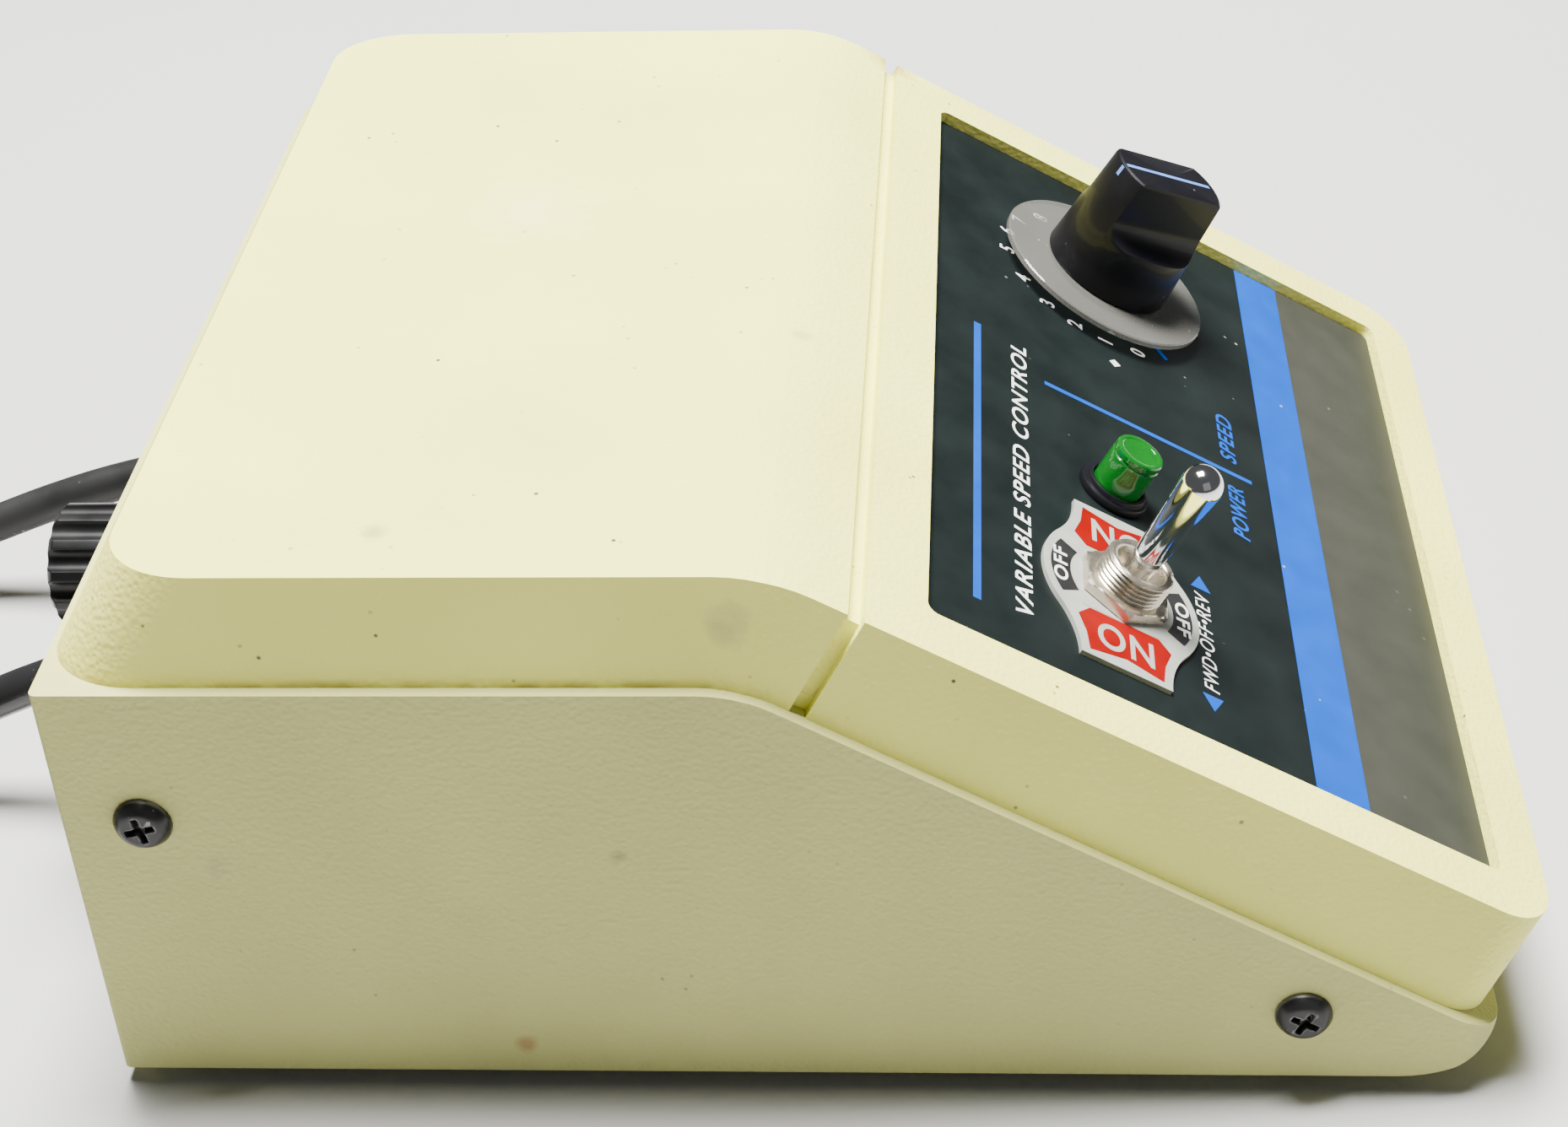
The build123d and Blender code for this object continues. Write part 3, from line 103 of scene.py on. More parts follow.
# ---------------------------------------------------------------- materials
def mat(name, col, rough=0.45, metal=0.0, var=0.08, vscale=60.0, grain=900.0, bump=0.15, depth=0.05,
        dr=0.08, speck=None, stains_and_sheen=None, coat=0.0, alpha=1.0, trans=0.0, ior=1.45, aniso=0.0,
        cell=False, crease_dirt_shade_and_edge_wear=None, coat_rough=0.05, emission=None, spec=0.5, scuff=None, foot_dirt_and_shade=None):
    m = bpy.data.materials.new(name)
    m.use_nodes = True
    nt = m.node_tree
    b = nt.nodes["Principled BSDF"]
    tc = nt.nodes.new("ShaderNodeTexCoord")
    n1 = nt.nodes.new("ShaderNodeTexNoise"); n1.inputs["Scale"].default_value = vscale
    n1.inputs["Detail"].default_value = 6.0
    nt.links.new(tc.outputs["Object"], n1.inputs["Vector"])
    cr = nt.nodes.new("ShaderNodeValToRGB")
    cr.color_ramp.elements[0].position = 0.3; cr.color_ramp.elements[1].position = 0.72
    lo = [max(0, c * (1 - var)) for c in col]; hi = [min(1, c * (1 + var)) for c in col]
    cr.color_ramp.elements[0].color = (*lo, 1); cr.color_ramp.elements[1].color = (*hi, 1)
    nt.links.new(n1.outputs["Fac"], cr.inputs["Fac"])
    out = cr.outputs["Color"]

    def mix(fac, colour, base):
        mx = nt.nodes.new("ShaderNodeMix"); mx.data_type = "RGBA"
        nt.links.new(fac, mx.inputs[0]); nt.links.new(base, mx.inputs[6])
        mx.inputs[7].default_value = (*colour, 1)
        return mx.outputs[2]

    def ramp(val, a, c):
        r = nt.nodes.new("ShaderNodeMapRange"); r.clamp = True
        nt.links.new(val, r.inputs["Value"])
        r.inputs["From Min"].default_value = a; r.inputs["From Max"].default_value = c
        return r

    if speck:
        # sparse small spots: (cells per metre, size, colour)
        v = nt.nodes.new("ShaderNodeTexVoronoi"); v.inputs["Scale"].default_value = speck[0]
        nt.links.new(tc.outputs["Object"], v.inputs["Vector"])
        gate = nt.nodes.new("ShaderNodeTexNoise"); gate.inputs["Scale"].default_value = speck[0] * 0.31
        nt.links.new(tc.outputs["Object"], gate.inputs["Vector"])
        r1 = ramp(v.outputs["Distance"], speck[1], speck[1] * 0.5)
        r2 = ramp(gate.outputs["Fac"], 0.60, 0.68)
        mul = nt.nodes.new("ShaderNodeMath"); mul.operation = "MULTIPLY"
        nt.links.new(r1.outputs["Result"], mul.inputs[0]); nt.links.new(r2.outputs["Result"], mul.inputs[1])
        out = mix(mul.outputs["Value"], speck[2], out)
    if scuff:
        # fewer, larger faint rubs, broken up by noise: (cells per metre, size, colour, strength)
        v = nt.nodes.new("ShaderNodeTexVoronoi"); v.inputs["Scale"].default_value = scuff[0]
        warp = nt.nodes.new("ShaderNodeTexNoise"); warp.inputs["Scale"].default_value = 420.0
        nt.links.new(tc.outputs["Object"], warp.inputs["Vector"])
        nt.links.new(tc.outputs["Object"], v.inputs["Vector"])
        wd = nt.nodes.new("ShaderNodeMath"); wd.operation = "MULTIPLY_ADD"
        nt.links.new(warp.outputs["Fac"], wd.inputs[0]); wd.inputs[1].default_value = scuff[1] * 1.6
        nt.links.new(v.outputs["Distance"], wd.inputs[2])
        gate = nt.nodes.new("ShaderNodeTexNoise"); gate.inputs["Scale"].default_value = scuff[0] * 0.45
        nt.links.new(tc.outputs["Object"], gate.inputs["Vector"])
        r1 = ramp(wd.outputs["Value"], scuff[1] * 1.9, scuff[1] * 1.1)
        r2 = ramp(gate.outputs["Fac"], 0.56, 0.64); r2.inputs["To Max"].default_value = scuff[3]
        mul = nt.nodes.new("ShaderNodeMath"); mul.operation = "MULTIPLY"
        nt.links.new(r1.outputs["Result"], mul.inputs[0]); nt.links.new(r2.outputs["Result"], mul.inputs[1])
        out = mix(mul.outputs["Value"], scuff[2], out)
    if foot_dirt_and_shade:
        # dirt and painted shade in the crease along the cover's foot: (height, thickness, from depth, colour, strength)
        sx = nt.nodes.new("ShaderNodeSeparateXYZ"); nt.links.new(tc.outputs["Object"], sx.inputs[0])
        r1 = ramp(sx.outputs["Z"], foot_dirt_and_shade[0] + foot_dirt_and_shade[1], foot_dirt_and_shade[0])
        r2 = ramp(sx.outputs["Y"], foot_dirt_and_shade[2], foot_dirt_and_shade[2] + 0.004)
        nb = nt.nodes.new("ShaderNodeTexNoise"); nb.inputs["Scale"].default_value = 130.0
        nt.links.new(tc.outputs["Object"], nb.inputs["Vector"])
        r3 = ramp(nb.outputs["Fac"], 0.38, 0.66); r3.inputs["To Max"].default_value = foot_dirt_and_shade[4]
        m1 = nt.nodes.new("ShaderNodeMath"); m1.operation = "MULTIPLY"
        nt.links.new(r1.outputs["Result"], m1.inputs[0]); nt.links.new(r2.outputs["Result"], m1.inputs[1])
        m2 = nt.nodes.new("ShaderNodeMath"); m2.operation = "MULTIPLY"
        nt.links.new(m1.outputs["Value"], m2.inputs[0]); nt.links.new(r3.outputs["Result"], m2.inputs[1])
        out = mix(m2.outputs["Value"], foot_dirt_and_shade[3], out)
    for st in (stains_and_sheen or []):
        # soft spot at a point: (centre, radius, colour, strength)
        vm = nt.nodes.new("ShaderNodeVectorMath"); vm.operation = "DISTANCE"
        nt.links.new(tc.outputs["Object"], vm.inputs[0]); vm.inputs[1].default_value = st[0]
        ns = nt.nodes.new("ShaderNodeTexNoise"); ns.inputs["Scale"].default_value = 260.0
        nt.links.new(tc.outputs["Object"], ns.inputs["Vector"])
        ad = nt.nodes.new("ShaderNodeMath"); ad.operation = "MULTIPLY_ADD"
        nt.links.new(ns.outputs["Fac"], ad.inputs[0]); ad.inputs[1].default_value = st[1] * 1.1
        nt.links.new(vm.outputs["Value"], ad.inputs[2])
        r = ramp(ad.outputs["Value"], st[1] * 1.5, st[1] * 0.75)
        r.inputs["To Max"].default_value = st[3]
        out = mix(r.outputs["Result"], st[2], out)
    if crease_dirt_shade_and_edge_wear:
        # where the surface turns, by pointiness: grime with painted shade in hollows, wear on outer edges: (colour,
        # low, high, strength)
        g = nt.nodes.new("ShaderNodeNewGeometry")
        ne = nt.nodes.new("ShaderNodeTexNoise"); ne.inputs["Scale"].default_value = 220.0
        nt.links.new(tc.outputs["Object"], ne.inputs["Vector"])
        r = ramp(g.outputs["Pointiness"], crease_dirt_shade_and_edge_wear[1], crease_dirt_shade_and_edge_wear[2])
        r3 = ramp(ne.outputs["Fac"], 0.35, 0.65); r3.inputs["To Max"].default_value = crease_dirt_shade_and_edge_wear[3]
        mul = nt.nodes.new("ShaderNodeMath"); mul.operation = "MULTIPLY"
        nt.links.new(r.outputs["Result"], mul.inputs[0]); nt.links.new(r3.outputs["Result"], mul.inputs[1])
        out = mix(mul.outputs["Value"], crease_dirt_shade_and_edge_wear[0], out)
    nt.links.new(out, b.inputs["Base Color"])
    rr = nt.nodes.new("ShaderNodeMapRange")
    nt.links.new(n1.outputs["Fac"], rr.inputs["Value"])
    rr.inputs["From Min"].default_value = 0.3; rr.inputs["From Max"].default_value = 0.7
    rr.inputs["To Min"].default_value = max(0.02, rough - dr); rr.inputs["To Max"].default_value = min(1, rough + dr)
    nt.links.new(rr.outputs["Result"], b.inputs["Roughness"])
    if bump:
        if cell:
            n2 = nt.nodes.new("ShaderNodeTexVoronoi"); n2.feature = "SMOOTH_F1"
            n2.inputs["Scale"].default_value = grain; src = n2.outputs["Distance"]
        else:
            n2 = nt.nodes.new("ShaderNodeTexNoise"); n2.inputs["Scale"].default_value = grain
            n2.inputs["Detail"].default_value = 3.0; src = n2.outputs["Fac"]
        nt.links.new(tc.outputs["Object"], n2.inputs["Vector"])
        bp = nt.nodes.new("ShaderNodeBump"); bp.inputs["Strength"].default_value = bump
        bp.inputs["Distance"].default_value = depth * MM
        nt.links.new(src, bp.inputs["Height"])
        nt.links.new(bp.outputs["Normal"], b.inputs["Normal"])
    b.inputs["Metallic"].default_value = metal
    b.inputs["Specular IOR Level"].default_value = spec
    b.inputs["Coat Weight"].default_value = coat
    b.inputs["Coat Roughness"].default_value = coat_rough
    b.inputs["Alpha"].default_value = alpha
    b.inputs["Transmission Weight"].default_value = trans
    b.inputs["IOR"].default_value = ior
    b.inputs["Anisotropic"].default_value = aniso
    if emission:
        b.inputs["Emission Color"].default_value = (*emission[0], 1)
        b.inputs["Emission Strength"].default_value = emission[1]
    return m


CREAM = (0.84, 0.83, 0.20)
stain_pos = tuple(W(91.0, -119.0, FOOT + 87.0))
# the lower case's copy of the cover's cream plastic, made darker: painted shade for its shaded side
m_case_shaded = mat("case_plastic_shaded", (0.53, 0.53, 0.20), 0.58, spec=0.18, scuff=(62, 0.075, (0.30, 0.29, 0.14), 0.5), var=0.07, vscale=26, grain=1150, bump=0.75, depth=0.20, cell=True,
             speck=(330, 0.13, (0.34, 0.28, 0.17)), stains_and_sheen=[(tuple(W(-95.2, -65.1, 8.9)), 0.0024, (0.36, 0.20, 0.09), 0.7),
                    (tuple(W(-95.2, -22.0, 45.8)), 0.0028, (0.42, 0.38, 0.18), 0.5),
                    (tuple(W(-95.2, -82.7, 48.0)), 0.0020, (0.22, 0.20, 0.11), 0.6),
                    (tuple(W(-95.2, -59.3, 35.3)), 0.0060, (0.48, 0.47, 0.19), 0.4)],
             # creases darkened brown by pointiness: dirt with painted shade
             crease_dirt_shade_and_edge_wear=((0.42, 0.33, 0.20), 0.492, 0.47, 0.5))
m_cover = mat("cover_plastic", CREAM, 0.56, spec=0.18, scuff=(66, 0.065, (0.46, 0.44, 0.16), 0.42),
              # a dark band at the cover's foot above the ledge: dirt with painted shade
              foot_dirt_and_shade=(0.0783, 0.0016, 0.002, (0.26, 0.17, 0.07), 0.75), var=0.07, vscale=24, grain=1150, bump=0.75, depth=0.20, cell=True,
              speck=(380, 0.17, (0.09, 0.07, 0.05)),
              stains_and_sheen=[(stain_pos, 0.0065, (0.35, 0.20, 0.08), 0.8),
                    (tuple(W(-80.1, -49.6, 96)), 0.0026, (0.30, 0.28, 0.16), 0.6),
                    (tuple(W(-23.1, -107.9, 95)), 0.0024, (0.32, 0.30, 0.18), 0.5),
                    # a paler, whiter wash on the lit top: painted sheen
                    (tuple(W(16.4, -58.6, 96)), 0.014, (0.86, 0.86, 0.42), 0.4),
                    (tuple(W(-45.2, -66.3, 96)), 0.019, (0.62, 0.66, 0.20), 0.30),
                    (tuple(W(-91.0, -100.7, 88)), 0.0045, (0.34, 0.33, 0.18), 0.5)],
              # the cover's creases darkened brown the same way: dirt with painted shade
              crease_dirt_shade_and_edge_wear=((0.40, 0.31, 0.18), 0.492, 0.47, 0.5))
m_panel = mat("panel_dark", (0.0062, 0.0095, 0.0095), 0.45, spec=0.10, var=0.25, vscale=90, grain=2600, bump=0.10, depth=0.02,
              speck=(300, 0.12, (0.30, 0.30, 0.30)))
m_blue = mat("print_blue", (0.0, 0.058, 0.36), 0.5, spec=0.04, var=0.10, vscale=140, grain=2400, bump=0.08, depth=0.02,
             speck=(260, 0.10, (0.5, 0.6, 0.7)))
m_grey = mat("print_grey", (0.036, 0.038, 0.030), 0.5, spec=0.10, var=0.10, vscale=120, grain=2600, bump=0.12, depth=0.02,
             speck=(260, 0.12, (0.12, 0.11, 0.1)))
m_white = mat("print_white", (0.78, 0.78, 0.76), 0.45, var=0.10, vscale=300, grain=2600, bump=0.05, depth=0.01)
m_red = mat("print_red", (0.20, 0.001, 0.0005), 0.4, spec=0.12, var=0.15, vscale=200, grain=2200, bump=0.08, depth=0.02)
m_blackprint = mat("print_black", (0.015, 0.015, 0.016), 0.35, var=0.2, vscale=200, grain=2200, bump=0.08, depth=0.02)
m_black = mat("black_plastic", (0.004, 0.004, 0.006), 0.42, spec=0.16, var=0.3, vscale=70, grain=700, bump=0.06, depth=0.03,
              speck=(380, 0.12, (0.10, 0.10, 0.10)), coat=0.08)
m_cap = mat("cap_plastic", (0.006, 0.006, 0.007), 0.32, spec=0.35, var=0.3, vscale=90, grain=900, bump=0.12, depth=0.04,
            speck=(420, 0.13, (0.14, 0.13, 0.12)))
m_blacksteel = mat("black_steel", (0.016, 0.016, 0.017), 0.32, metal=0.3, var=0.35, vscale=260, grain=1300, bump=0.15,
                   depth=0.04, crease_dirt_shade_and_edge_wear=((0.32, 0.31, 0.30), 0.515, 0.56, 0.8), speck=(600, 0.15, (0.25, 0.22, 0.18)))
m_nickel = mat("nickel", (0.64, 0.58, 0.48), 0.27, metal=0.92, var=0.10, vscale=300, grain=1400, bump=0.03, depth=0.02)
m_chrome = mat("bright_chrome", (0.82, 0.82, 0.82), 0.07, metal=1.0, var=0.04, vscale=200, grain=900, bump=0.03,
               depth=0.02, dr=0.03)
m_steel = mat("zinc_steel", (0.62, 0.62, 0.60), 0.34, metal=1.0, var=0.12, vscale=220, grain=1200, bump=0.12, depth=0.03)
m_alu = mat("aluminium", (0.68, 0.68, 0.69), 0.36, metal=1.0, var=0.08, vscale=160, grain=1100, bump=0.12, depth=0.03,
            aniso=0.3)
m_plate = mat("plate_metal", (0.40, 0.41, 0.38), 0.40, metal=0.25, var=0.07, vscale=260, grain=1800, bump=0.10,
              depth=0.02)
m_brass = mat("brass", (0.72, 0.50, 0.20), 0.28, metal=1.0, var=0.12, vscale=240, grain=1300, bump=0.1, depth=0.03)
m_phen = mat("phenolic", (0.11, 0.05, 0.03), 0.45, var=0.25, vscale=120, grain=900, bump=0.15, depth=0.05)
m_lens = mat("green_lens", (0.0, 0.21, 0.015), 0.12, spec=0.35, var=0.12, vscale=120, grain=700, bump=0.08, depth=0.04,
             trans=0.55, ior=1.49, coat=0.5, dr=0.04)
m_glass = mat("clear_glass", (0.92, 0.93, 0.92), 0.05, var=0.03, vscale=80, grain=400, bump=0.03, depth=0.02,
              trans=0.9, ior=1.5, dr=0.02)
m_skirt = mat("skirt_acrylic", (0.17, 0.17, 0.155), 0.06, var=0.06, vscale=60, grain=500, bump=0.03, depth=0.03,
              alpha=0.50, coat=0.4, dr=0.02, speck=(420, 0.10, (0.85, 0.85, 0.8)))
m_rubber = mat("rubber", (0.009, 0.009, 0.009), 0.62, spec=0.3, var=0.3, vscale=120, grain=1500, bump=0.25, depth=0.06)
m_cordb = mat("cord_gloss", (0.012, 0.012, 0.013), 0.22, var=0.3, vscale=60, grain=260, bump=0.10, depth=0.10,
              coat=0.3, speck=(320, 0.12, (0.16, 0.15, 0.13)))
m_cordg = mat("cord_matt", (0.011, 0.011, 0.012), 0.55, var=0.25, vscale=90, grain=900, bump=0.25, depth=0.06,
              speck=(360, 0.14, (0.22, 0.21, 0.19)))
m_board = mat("board_green", (0.03, 0.16, 0.07), 0.35, var=0.25, vscale=140, grain=1600, bump=0.2, depth=0.04, coat=0.3)
m_iron = mat("core_iron", (0.10, 0.09, 0.085), 0.45, metal=0.6, var=0.25, vscale=150, grain=1500, bump=0.4, depth=0.08)
m_tape = mat("coil_tape", (0.70, 0.52, 0.12), 0.40, var=0.15, vscale=90, grain=900, bump=0.25, depth=0.05)
m_bluep = mat("blue_plastic", (0.03, 0.10, 0.38), 0.35, var=0.15, vscale=120, grain=900, bump=0.12, depth=0.04)
m_ceram = mat("ceramic", (0.78, 0.76, 0.70), 0.55, var=0.08, vscale=140, grain=1400, bump=0.25, depth=0.05)
# an emissive green core: painted glow standing in for light through the lens of the unlit lamp
m_painted_glow = mat("lamp_core_painted_glow", (0.02, 0.34, 0.05), 0.35, var=0.5, vscale=420, grain=900, bump=0.2, depth=0.08,
             emission=((0.0, 0.42, 0.02), 0.35))
m_line = mat("knob_line_blue", (0.10, 0.20, 0.55), 0.4, var=0.15, vscale=300, grain=2000, bump=0.1, depth=0.02)
m_tie = mat("tie_strap", (0.02, 0.02, 0.022), 0.7, var=0.3, vscale=200, grain=1900, bump=0.6, depth=0.15, cell=True)

slot_mat = {"case_cream": m_case_shaded, "panel_print": m_panel, "black_plastic": m_black, "phenolic": m_phen,
            "nickel": m_nickel, "chrome_bright": m_chrome, "plate_metal": m_plate, "brass": m_brass,
            "green_lens": m_lens, "clear_glass": m_glass, "smoky_skirt": m_skirt, "zinc_steel": m_steel,
            "black_steel": m_blacksteel, "rubber_black": m_rubber, "cord_black": m_cordb, "cord_grey": m_cordg,
            "board_green": m_board, "core_iron": m_iron, "coil_tape": m_tape, "heatsink_alu": m_alu,
            "blue_sleeve": m_bluep, "component_blue": m_bluep, "ceramic_white": m_ceram, "tie_black": m_tie}
node_slot = {s["node"]: s["material_slot"] for s in frame["record"]["subparts"]}
for n, o in nodes.items():
    m = slot_mat[node_slot[n]]
    if o.material_slots:
        for sl in o.material_slots:
            sl.material = m
    else:
        o.data.materials.append(m)
for n in ("fuse_cap", "fuse_holder_body"):
    for sl in nodes[n].material_slots:
        sl.material = m_cap
body_of = {n: b for b, ns in frame["record"]["behaviour"]["bodies"].items() for n in ns}


# ---------------------------------------------------------------- mesh helpers
def obj(name, mesh, material, body, matrix=None, smooth=35):
    o = bpy.data.objects.new(name, mesh)
    bpy.context.scene.collection.objects.link(o)
    if material and not mesh.materials:
        mesh.materials.append(material)
    if matrix is not None:
        mesh.transform(matrix)
    if smooth:
        mesh.shade_smooth()
        mesh.set_sharp_from_angle(angle=radians(smooth))
    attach(o, body)
    return o


def lathe(name, prof, matrix, material, body, seg=64, smooth=35, closed=True, cap=True):
    """profile of (radius, height) about local z; radius 0 closes on the axis"""
    bm = bmesh.new()
    rings = []
    for r, h in prof:
        r *= MM; h *= MM
        if r < 1e-9:
            rings.append([bm.verts.new((0, 0, h))])
        else:
            rings.append([bm.verts.new((r * cos(2 * pi * i / seg), r * sin(2 * pi * i / seg), h)) for i in range(seg)])
    pairs = list(zip(rings, rings[1:]))
    if closed and len(rings[0]) > 1 and len(rings[-1]) > 1:
        pairs.append((rings[-1], rings[0]))
    for a, b in pairs:
        for i in range(seg):
            j = (i + 1) % seg
            if len(a) == 1 and len(b) == 1:
                continue
            if len(a) == 1:
                bm.faces.new((a[0], b[j], b[i]))
            elif len(b) == 1:
                bm.faces.new((a[i], a[j], b[0]))
            else:
                bm.faces.new((a[i], a[j], b[j], b[i]))
    bmesh.ops.recalc_face_normals(bm, faces=bm.faces)
    me = bpy.data.meshes.new(name); bm.to_mesh(me); bm.free()
    return obj(name, me, material, body, matrix, smooth)


def prism(name, pts, h0, h1, matrix, material, body, bevel=0.0, smooth=35, holes=()):
    """flat outline in local mm, from height h0 to h1, its top edge eased"""
    bm = bmesh.new()
    lo = [bm.verts.new((x * MM, y * MM, h0 * MM)) for x, y in pts]
    hi = [bm.verts.new((x * MM, y * MM, h1 * MM)) for x, y in pts]
    n = len(pts)
    bm.faces.new(lo[::-1]); top = bm.faces.new(hi)
    for i in range(n):
        bm.faces.new((lo[i], lo[(i + 1) % n], hi[(i + 1) % n], hi[i]))
    bmesh.ops.recalc_face_normals(bm, faces=bm.faces)
    if bevel:
        es = [e for e in top.edges]
        bmesh.ops.bevel(bm, geom=es, offset=bevel * MM, segments=3, affect="EDGES", profile=0.5)
    me = bpy.data.meshes.new(name); bm.to_mesh(me); bm.free()
    return obj(name, me, material, body, matrix, smooth)


def join_mesh(name, objs):
    """one piece from several"""
    keep = objs[0]
    bm = bmesh.new()
    for o in objs:
        bm.from_mesh(o.data)
    bm.to_mesh(keep.data); bm.free()
    for o in objs[1:]:
        bpy.data.objects.remove(o)
    keep.name = name
    return keep


def refined(node, name, width, pick=None, segs=3, angle=28, material=None):
    """a copy of a CAD piece with its hard edges eased"""
    src = nodes[node].data
    bm = bmesh.new(); bm.from_mesh(src)
    bmesh.ops.remove_doubles(bm, verts=bm.verts, dist=2e-6)
    bmesh.ops.dissolve_limit(bm, angle_limit=radians(0.4), verts=bm.verts, edges=bm.edges)
    bm.normal_update()
    wl = bm.edges.layers.float.new("bevel_weight_edge")
    for e in bm.edges:
        if len(e.link_faces) != 2:
            continue
        if e.calc_face_angle(0.0) > radians(angle):
            c = (e.verts[0].co + e.verts[1].co) / 2
            w = pick(c / MM, e) if pick else 1.0
            if w > 0:
                e[wl] = w
    me = bpy.data.meshes.new(name); bm.to_mesh(me); bm.free()
    me.materials.clear()
    o = obj(name, me, material or slot_mat[node_slot[node]], body_of[node], None, 0)
    bv = o.modifiers.new("edges", "BEVEL"); bv.limit_method = "WEIGHT"; bv.width = width * MM
    bv.segments = segs; bv.use_clamp_overlap = True; bv.harden_normals = False; bv.miter_outer = "MITER_ARC"
    dg = bpy.context.evaluated_depsgraph_get()
    me2 = bpy.data.meshes.new_from_object(o.evaluated_get(dg))
    o.modifiers.clear(); o.data = me2
    me2.shade_smooth(); me2.set_sharp_from_angle(angle=radians(24))
    # flat faces stay flat beside the eased edges
    wn = o.modifiers.new("wn", "WEIGHTED_NORMAL"); wn.keep_sharp = True; wn.weight = 100
    dg = bpy.context.evaluated_depsgraph_get(); dg.update()
    me3 = bpy.data.meshes.new_from_object(o.evaluated_get(dg))
    o.modifiers.clear(); o.data = me3
    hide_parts(node)
    return o


# ---------------------------------------------------------------- case shells
def soft_case(c, e):
    return 1.0


def cover_edges(c, e):
    # every hard edge is eased, the seam against the lower case too
    return 1.0


def try_refined(*a, **k):
    """an eased copy, its volume against the original printed"""
    name, node, w = a[1], a[0], a[2]
    vol0 = mesh_volume(nodes[node].data)
    o = refined(*a, **k)
    v1 = mesh_volume(o.data)
    print("eased", name, round(v1 / vol0, 4), "faces", len(o.data.polygons))
    return o


def mesh_volume(me):
    bm = bmesh.new(); bm.from_mesh(me)
    v = bm.calc_volume(signed=True); bm.free()
    return v


cover_shell = try_refined("top_cover", "cover_shell", 1.1, cover_edges, 3, 28, m_cover)
lower_shell = try_refined("lower_case", "lower_shell", 0.6, soft_case, 2, 28, m_case_shaded)
cap_piece = try_refined("fuse_cap", "fuse_cap_fluted", 0.32, None, 2, 40, m_cap)
foot_piece = try_refined("rubber_feet", "rubber_feet_round", 0.5, None, 3, 40)


# ---------------------------------------------------------------- panel print
def print_shape(name, pts, material, o0=PLATE_TOP, t=0.035, body="case"):
    """a printed area: outline in panel u and down-slope s"""
    loc = [(u, -s) for u, s in pts]
    return prism(name, loc, o0, o0 + t, panel_mat(0, 0, 0), material, body, smooth=0)


def arc_pts(cx, cy, r, a0, a1, n):
    return [(cx + r * cos(radians(a0 + (a1 - a0) * i / n)), cy + r * sin(radians(a0 + (a1 - a0) * i / n)))
            for i in range(n + 1)]


def text_obj(name, words, u, s, height, material, deg=0.0, shear=0.0, bold=0.0, squeeze=1.0, o0=PLATE_TOP, t=0.04,
             width=None):
    cu = bpy.data.curves.new(name, "FONT")
    cu.body = words; cu.align_x = "CENTER"; cu.align_y = "CENTER"
    cu.size = 1.0; cu.space_character = 1.12; cu.shear = shear; cu.offset = bold; cu.extrude = 0.01; cu.resolution_u = 6
    tmp = bpy.data.objects.new(name + "_t", cu); bpy.context.scene.collection.objects.link(tmp)
    dg = bpy.context.evaluated_depsgraph_get(); dg.update()
    me = bpy.data.meshes.new_from_object(tmp.evaluated_get(dg))
    bpy.data.objects.remove(tmp)
    xs = [v.co.x for v in me.vertices]; ys = [v.co.y for v in me.vertices]
    cx, cy = (min(xs) + max(xs)) / 2, (min(ys) + max(ys)) / 2
    k = height / (max(ys) - min(ys))
    kx = width / (max(xs) - min(xs)) if width else k * squeeze
    for v in me.vertices:
        v.co = Vector(((v.co.x - cx) * kx, (v.co.y - cy) * k, (0.0 if v.co.z < 0 else t))) * MM
    me.name = name
    me.materials.clear()
    bm = bmesh.new(); bm.from_mesh(me)
    bmesh.ops.remove_doubles(bm, verts=bm.verts, dist=1e-7)
    bmesh.ops.recalc_face_normals(bm, faces=bm.faces)
    bm.to_mesh(me); bm.free()
    return obj(name, me, material, "case", panel_mat(u, s, o0, deg), 0)


R_ = 1.75
EU, E0, E1 = 81.0, 12.9, 112.85
print_shape("print_stripe", [(-EU, 90.8), (-EU, 81.1), (EU, 81.1), (EU, 90.8)], m_blue)
print_shape("print_band", [(-EU, 90.8), (EU, 90.8)] + arc_pts(EU - R_, E1 - R_, R_, 0, 90, 6)
            + arc_pts(-EU + R_, E1 - R_, R_, 90, 180, 6), m_grey)
print_shape("print_divider", [(0.85, 35.2), (1.95, 35.2), (1.95, 77.4), (0.85, 77.4)], m_blue)
text_obj("print_speed", "SPEED", 12.5, 73.0, 3.3, m_blue, shear=0.25, bold=0.02, width=15.0)
text_obj("print_power", "POWER", -10.4, 73.6, 3.3, m_blue, shear=0.25, bold=0.02, width=15.5)
text_obj("print_directions", "FWD•OFF•REV", -53.4, 63.5, 2.7, m_white, shear=0.22, bold=0.0, width=25.4)
text_obj("print_title", "VARIABLE SPEED CONTROL", -29.5, 30.1, 3.1, m_white, shear=0.22, bold=0.012, width=78.0)
print_shape("print_arrow_fwd", [(-71.0, 63.5), (-67.3, 61.6), (-67.3, 65.4)], m_blue)
print_shape("print_arrow_rev", [(-35.9, 63.5), (-39.6, 61.6), (-39.6, 65.4)], m_blue)
print_shape("print_rule", [(-70.0, 21.2), (10.5, 21.2), (10.5, 22.6), (-70.0, 22.6)], m_blue)
DIAL = [246.0, 267.0, 286.0, 304.5, 325.0, 350.5] + [350.5 + 20.8 * i for i in range(1, 6)]
for i, a in enumerate(DIAL):
    ra = radians(a)
    uu, ss = KNOB_U + 19.6 * sin(ra), CTRL_S - 19.6 * cos(ra)
    text_obj("dial_%d" % i, str(i), uu, ss, 3.1, m_white, bold=0.012, squeeze=0.92)
print_shape("print_zero_tick", [(35.0, 57.8), (35.6, 58.5), (30.7, 62.2), (30.1, 61.5)], m_blue)
print_shape("print_dot", [(18.7, 50.2), (19.9, 49.1), (21.1, 50.2), (19.9, 51.4)], m_white)

# ---------------------------------------------------------------- on/off plate print
P0 = PLATE_TOP + 0.8
tog = panel_mat(TOGGLE_U, CTRL_S, 0.0)


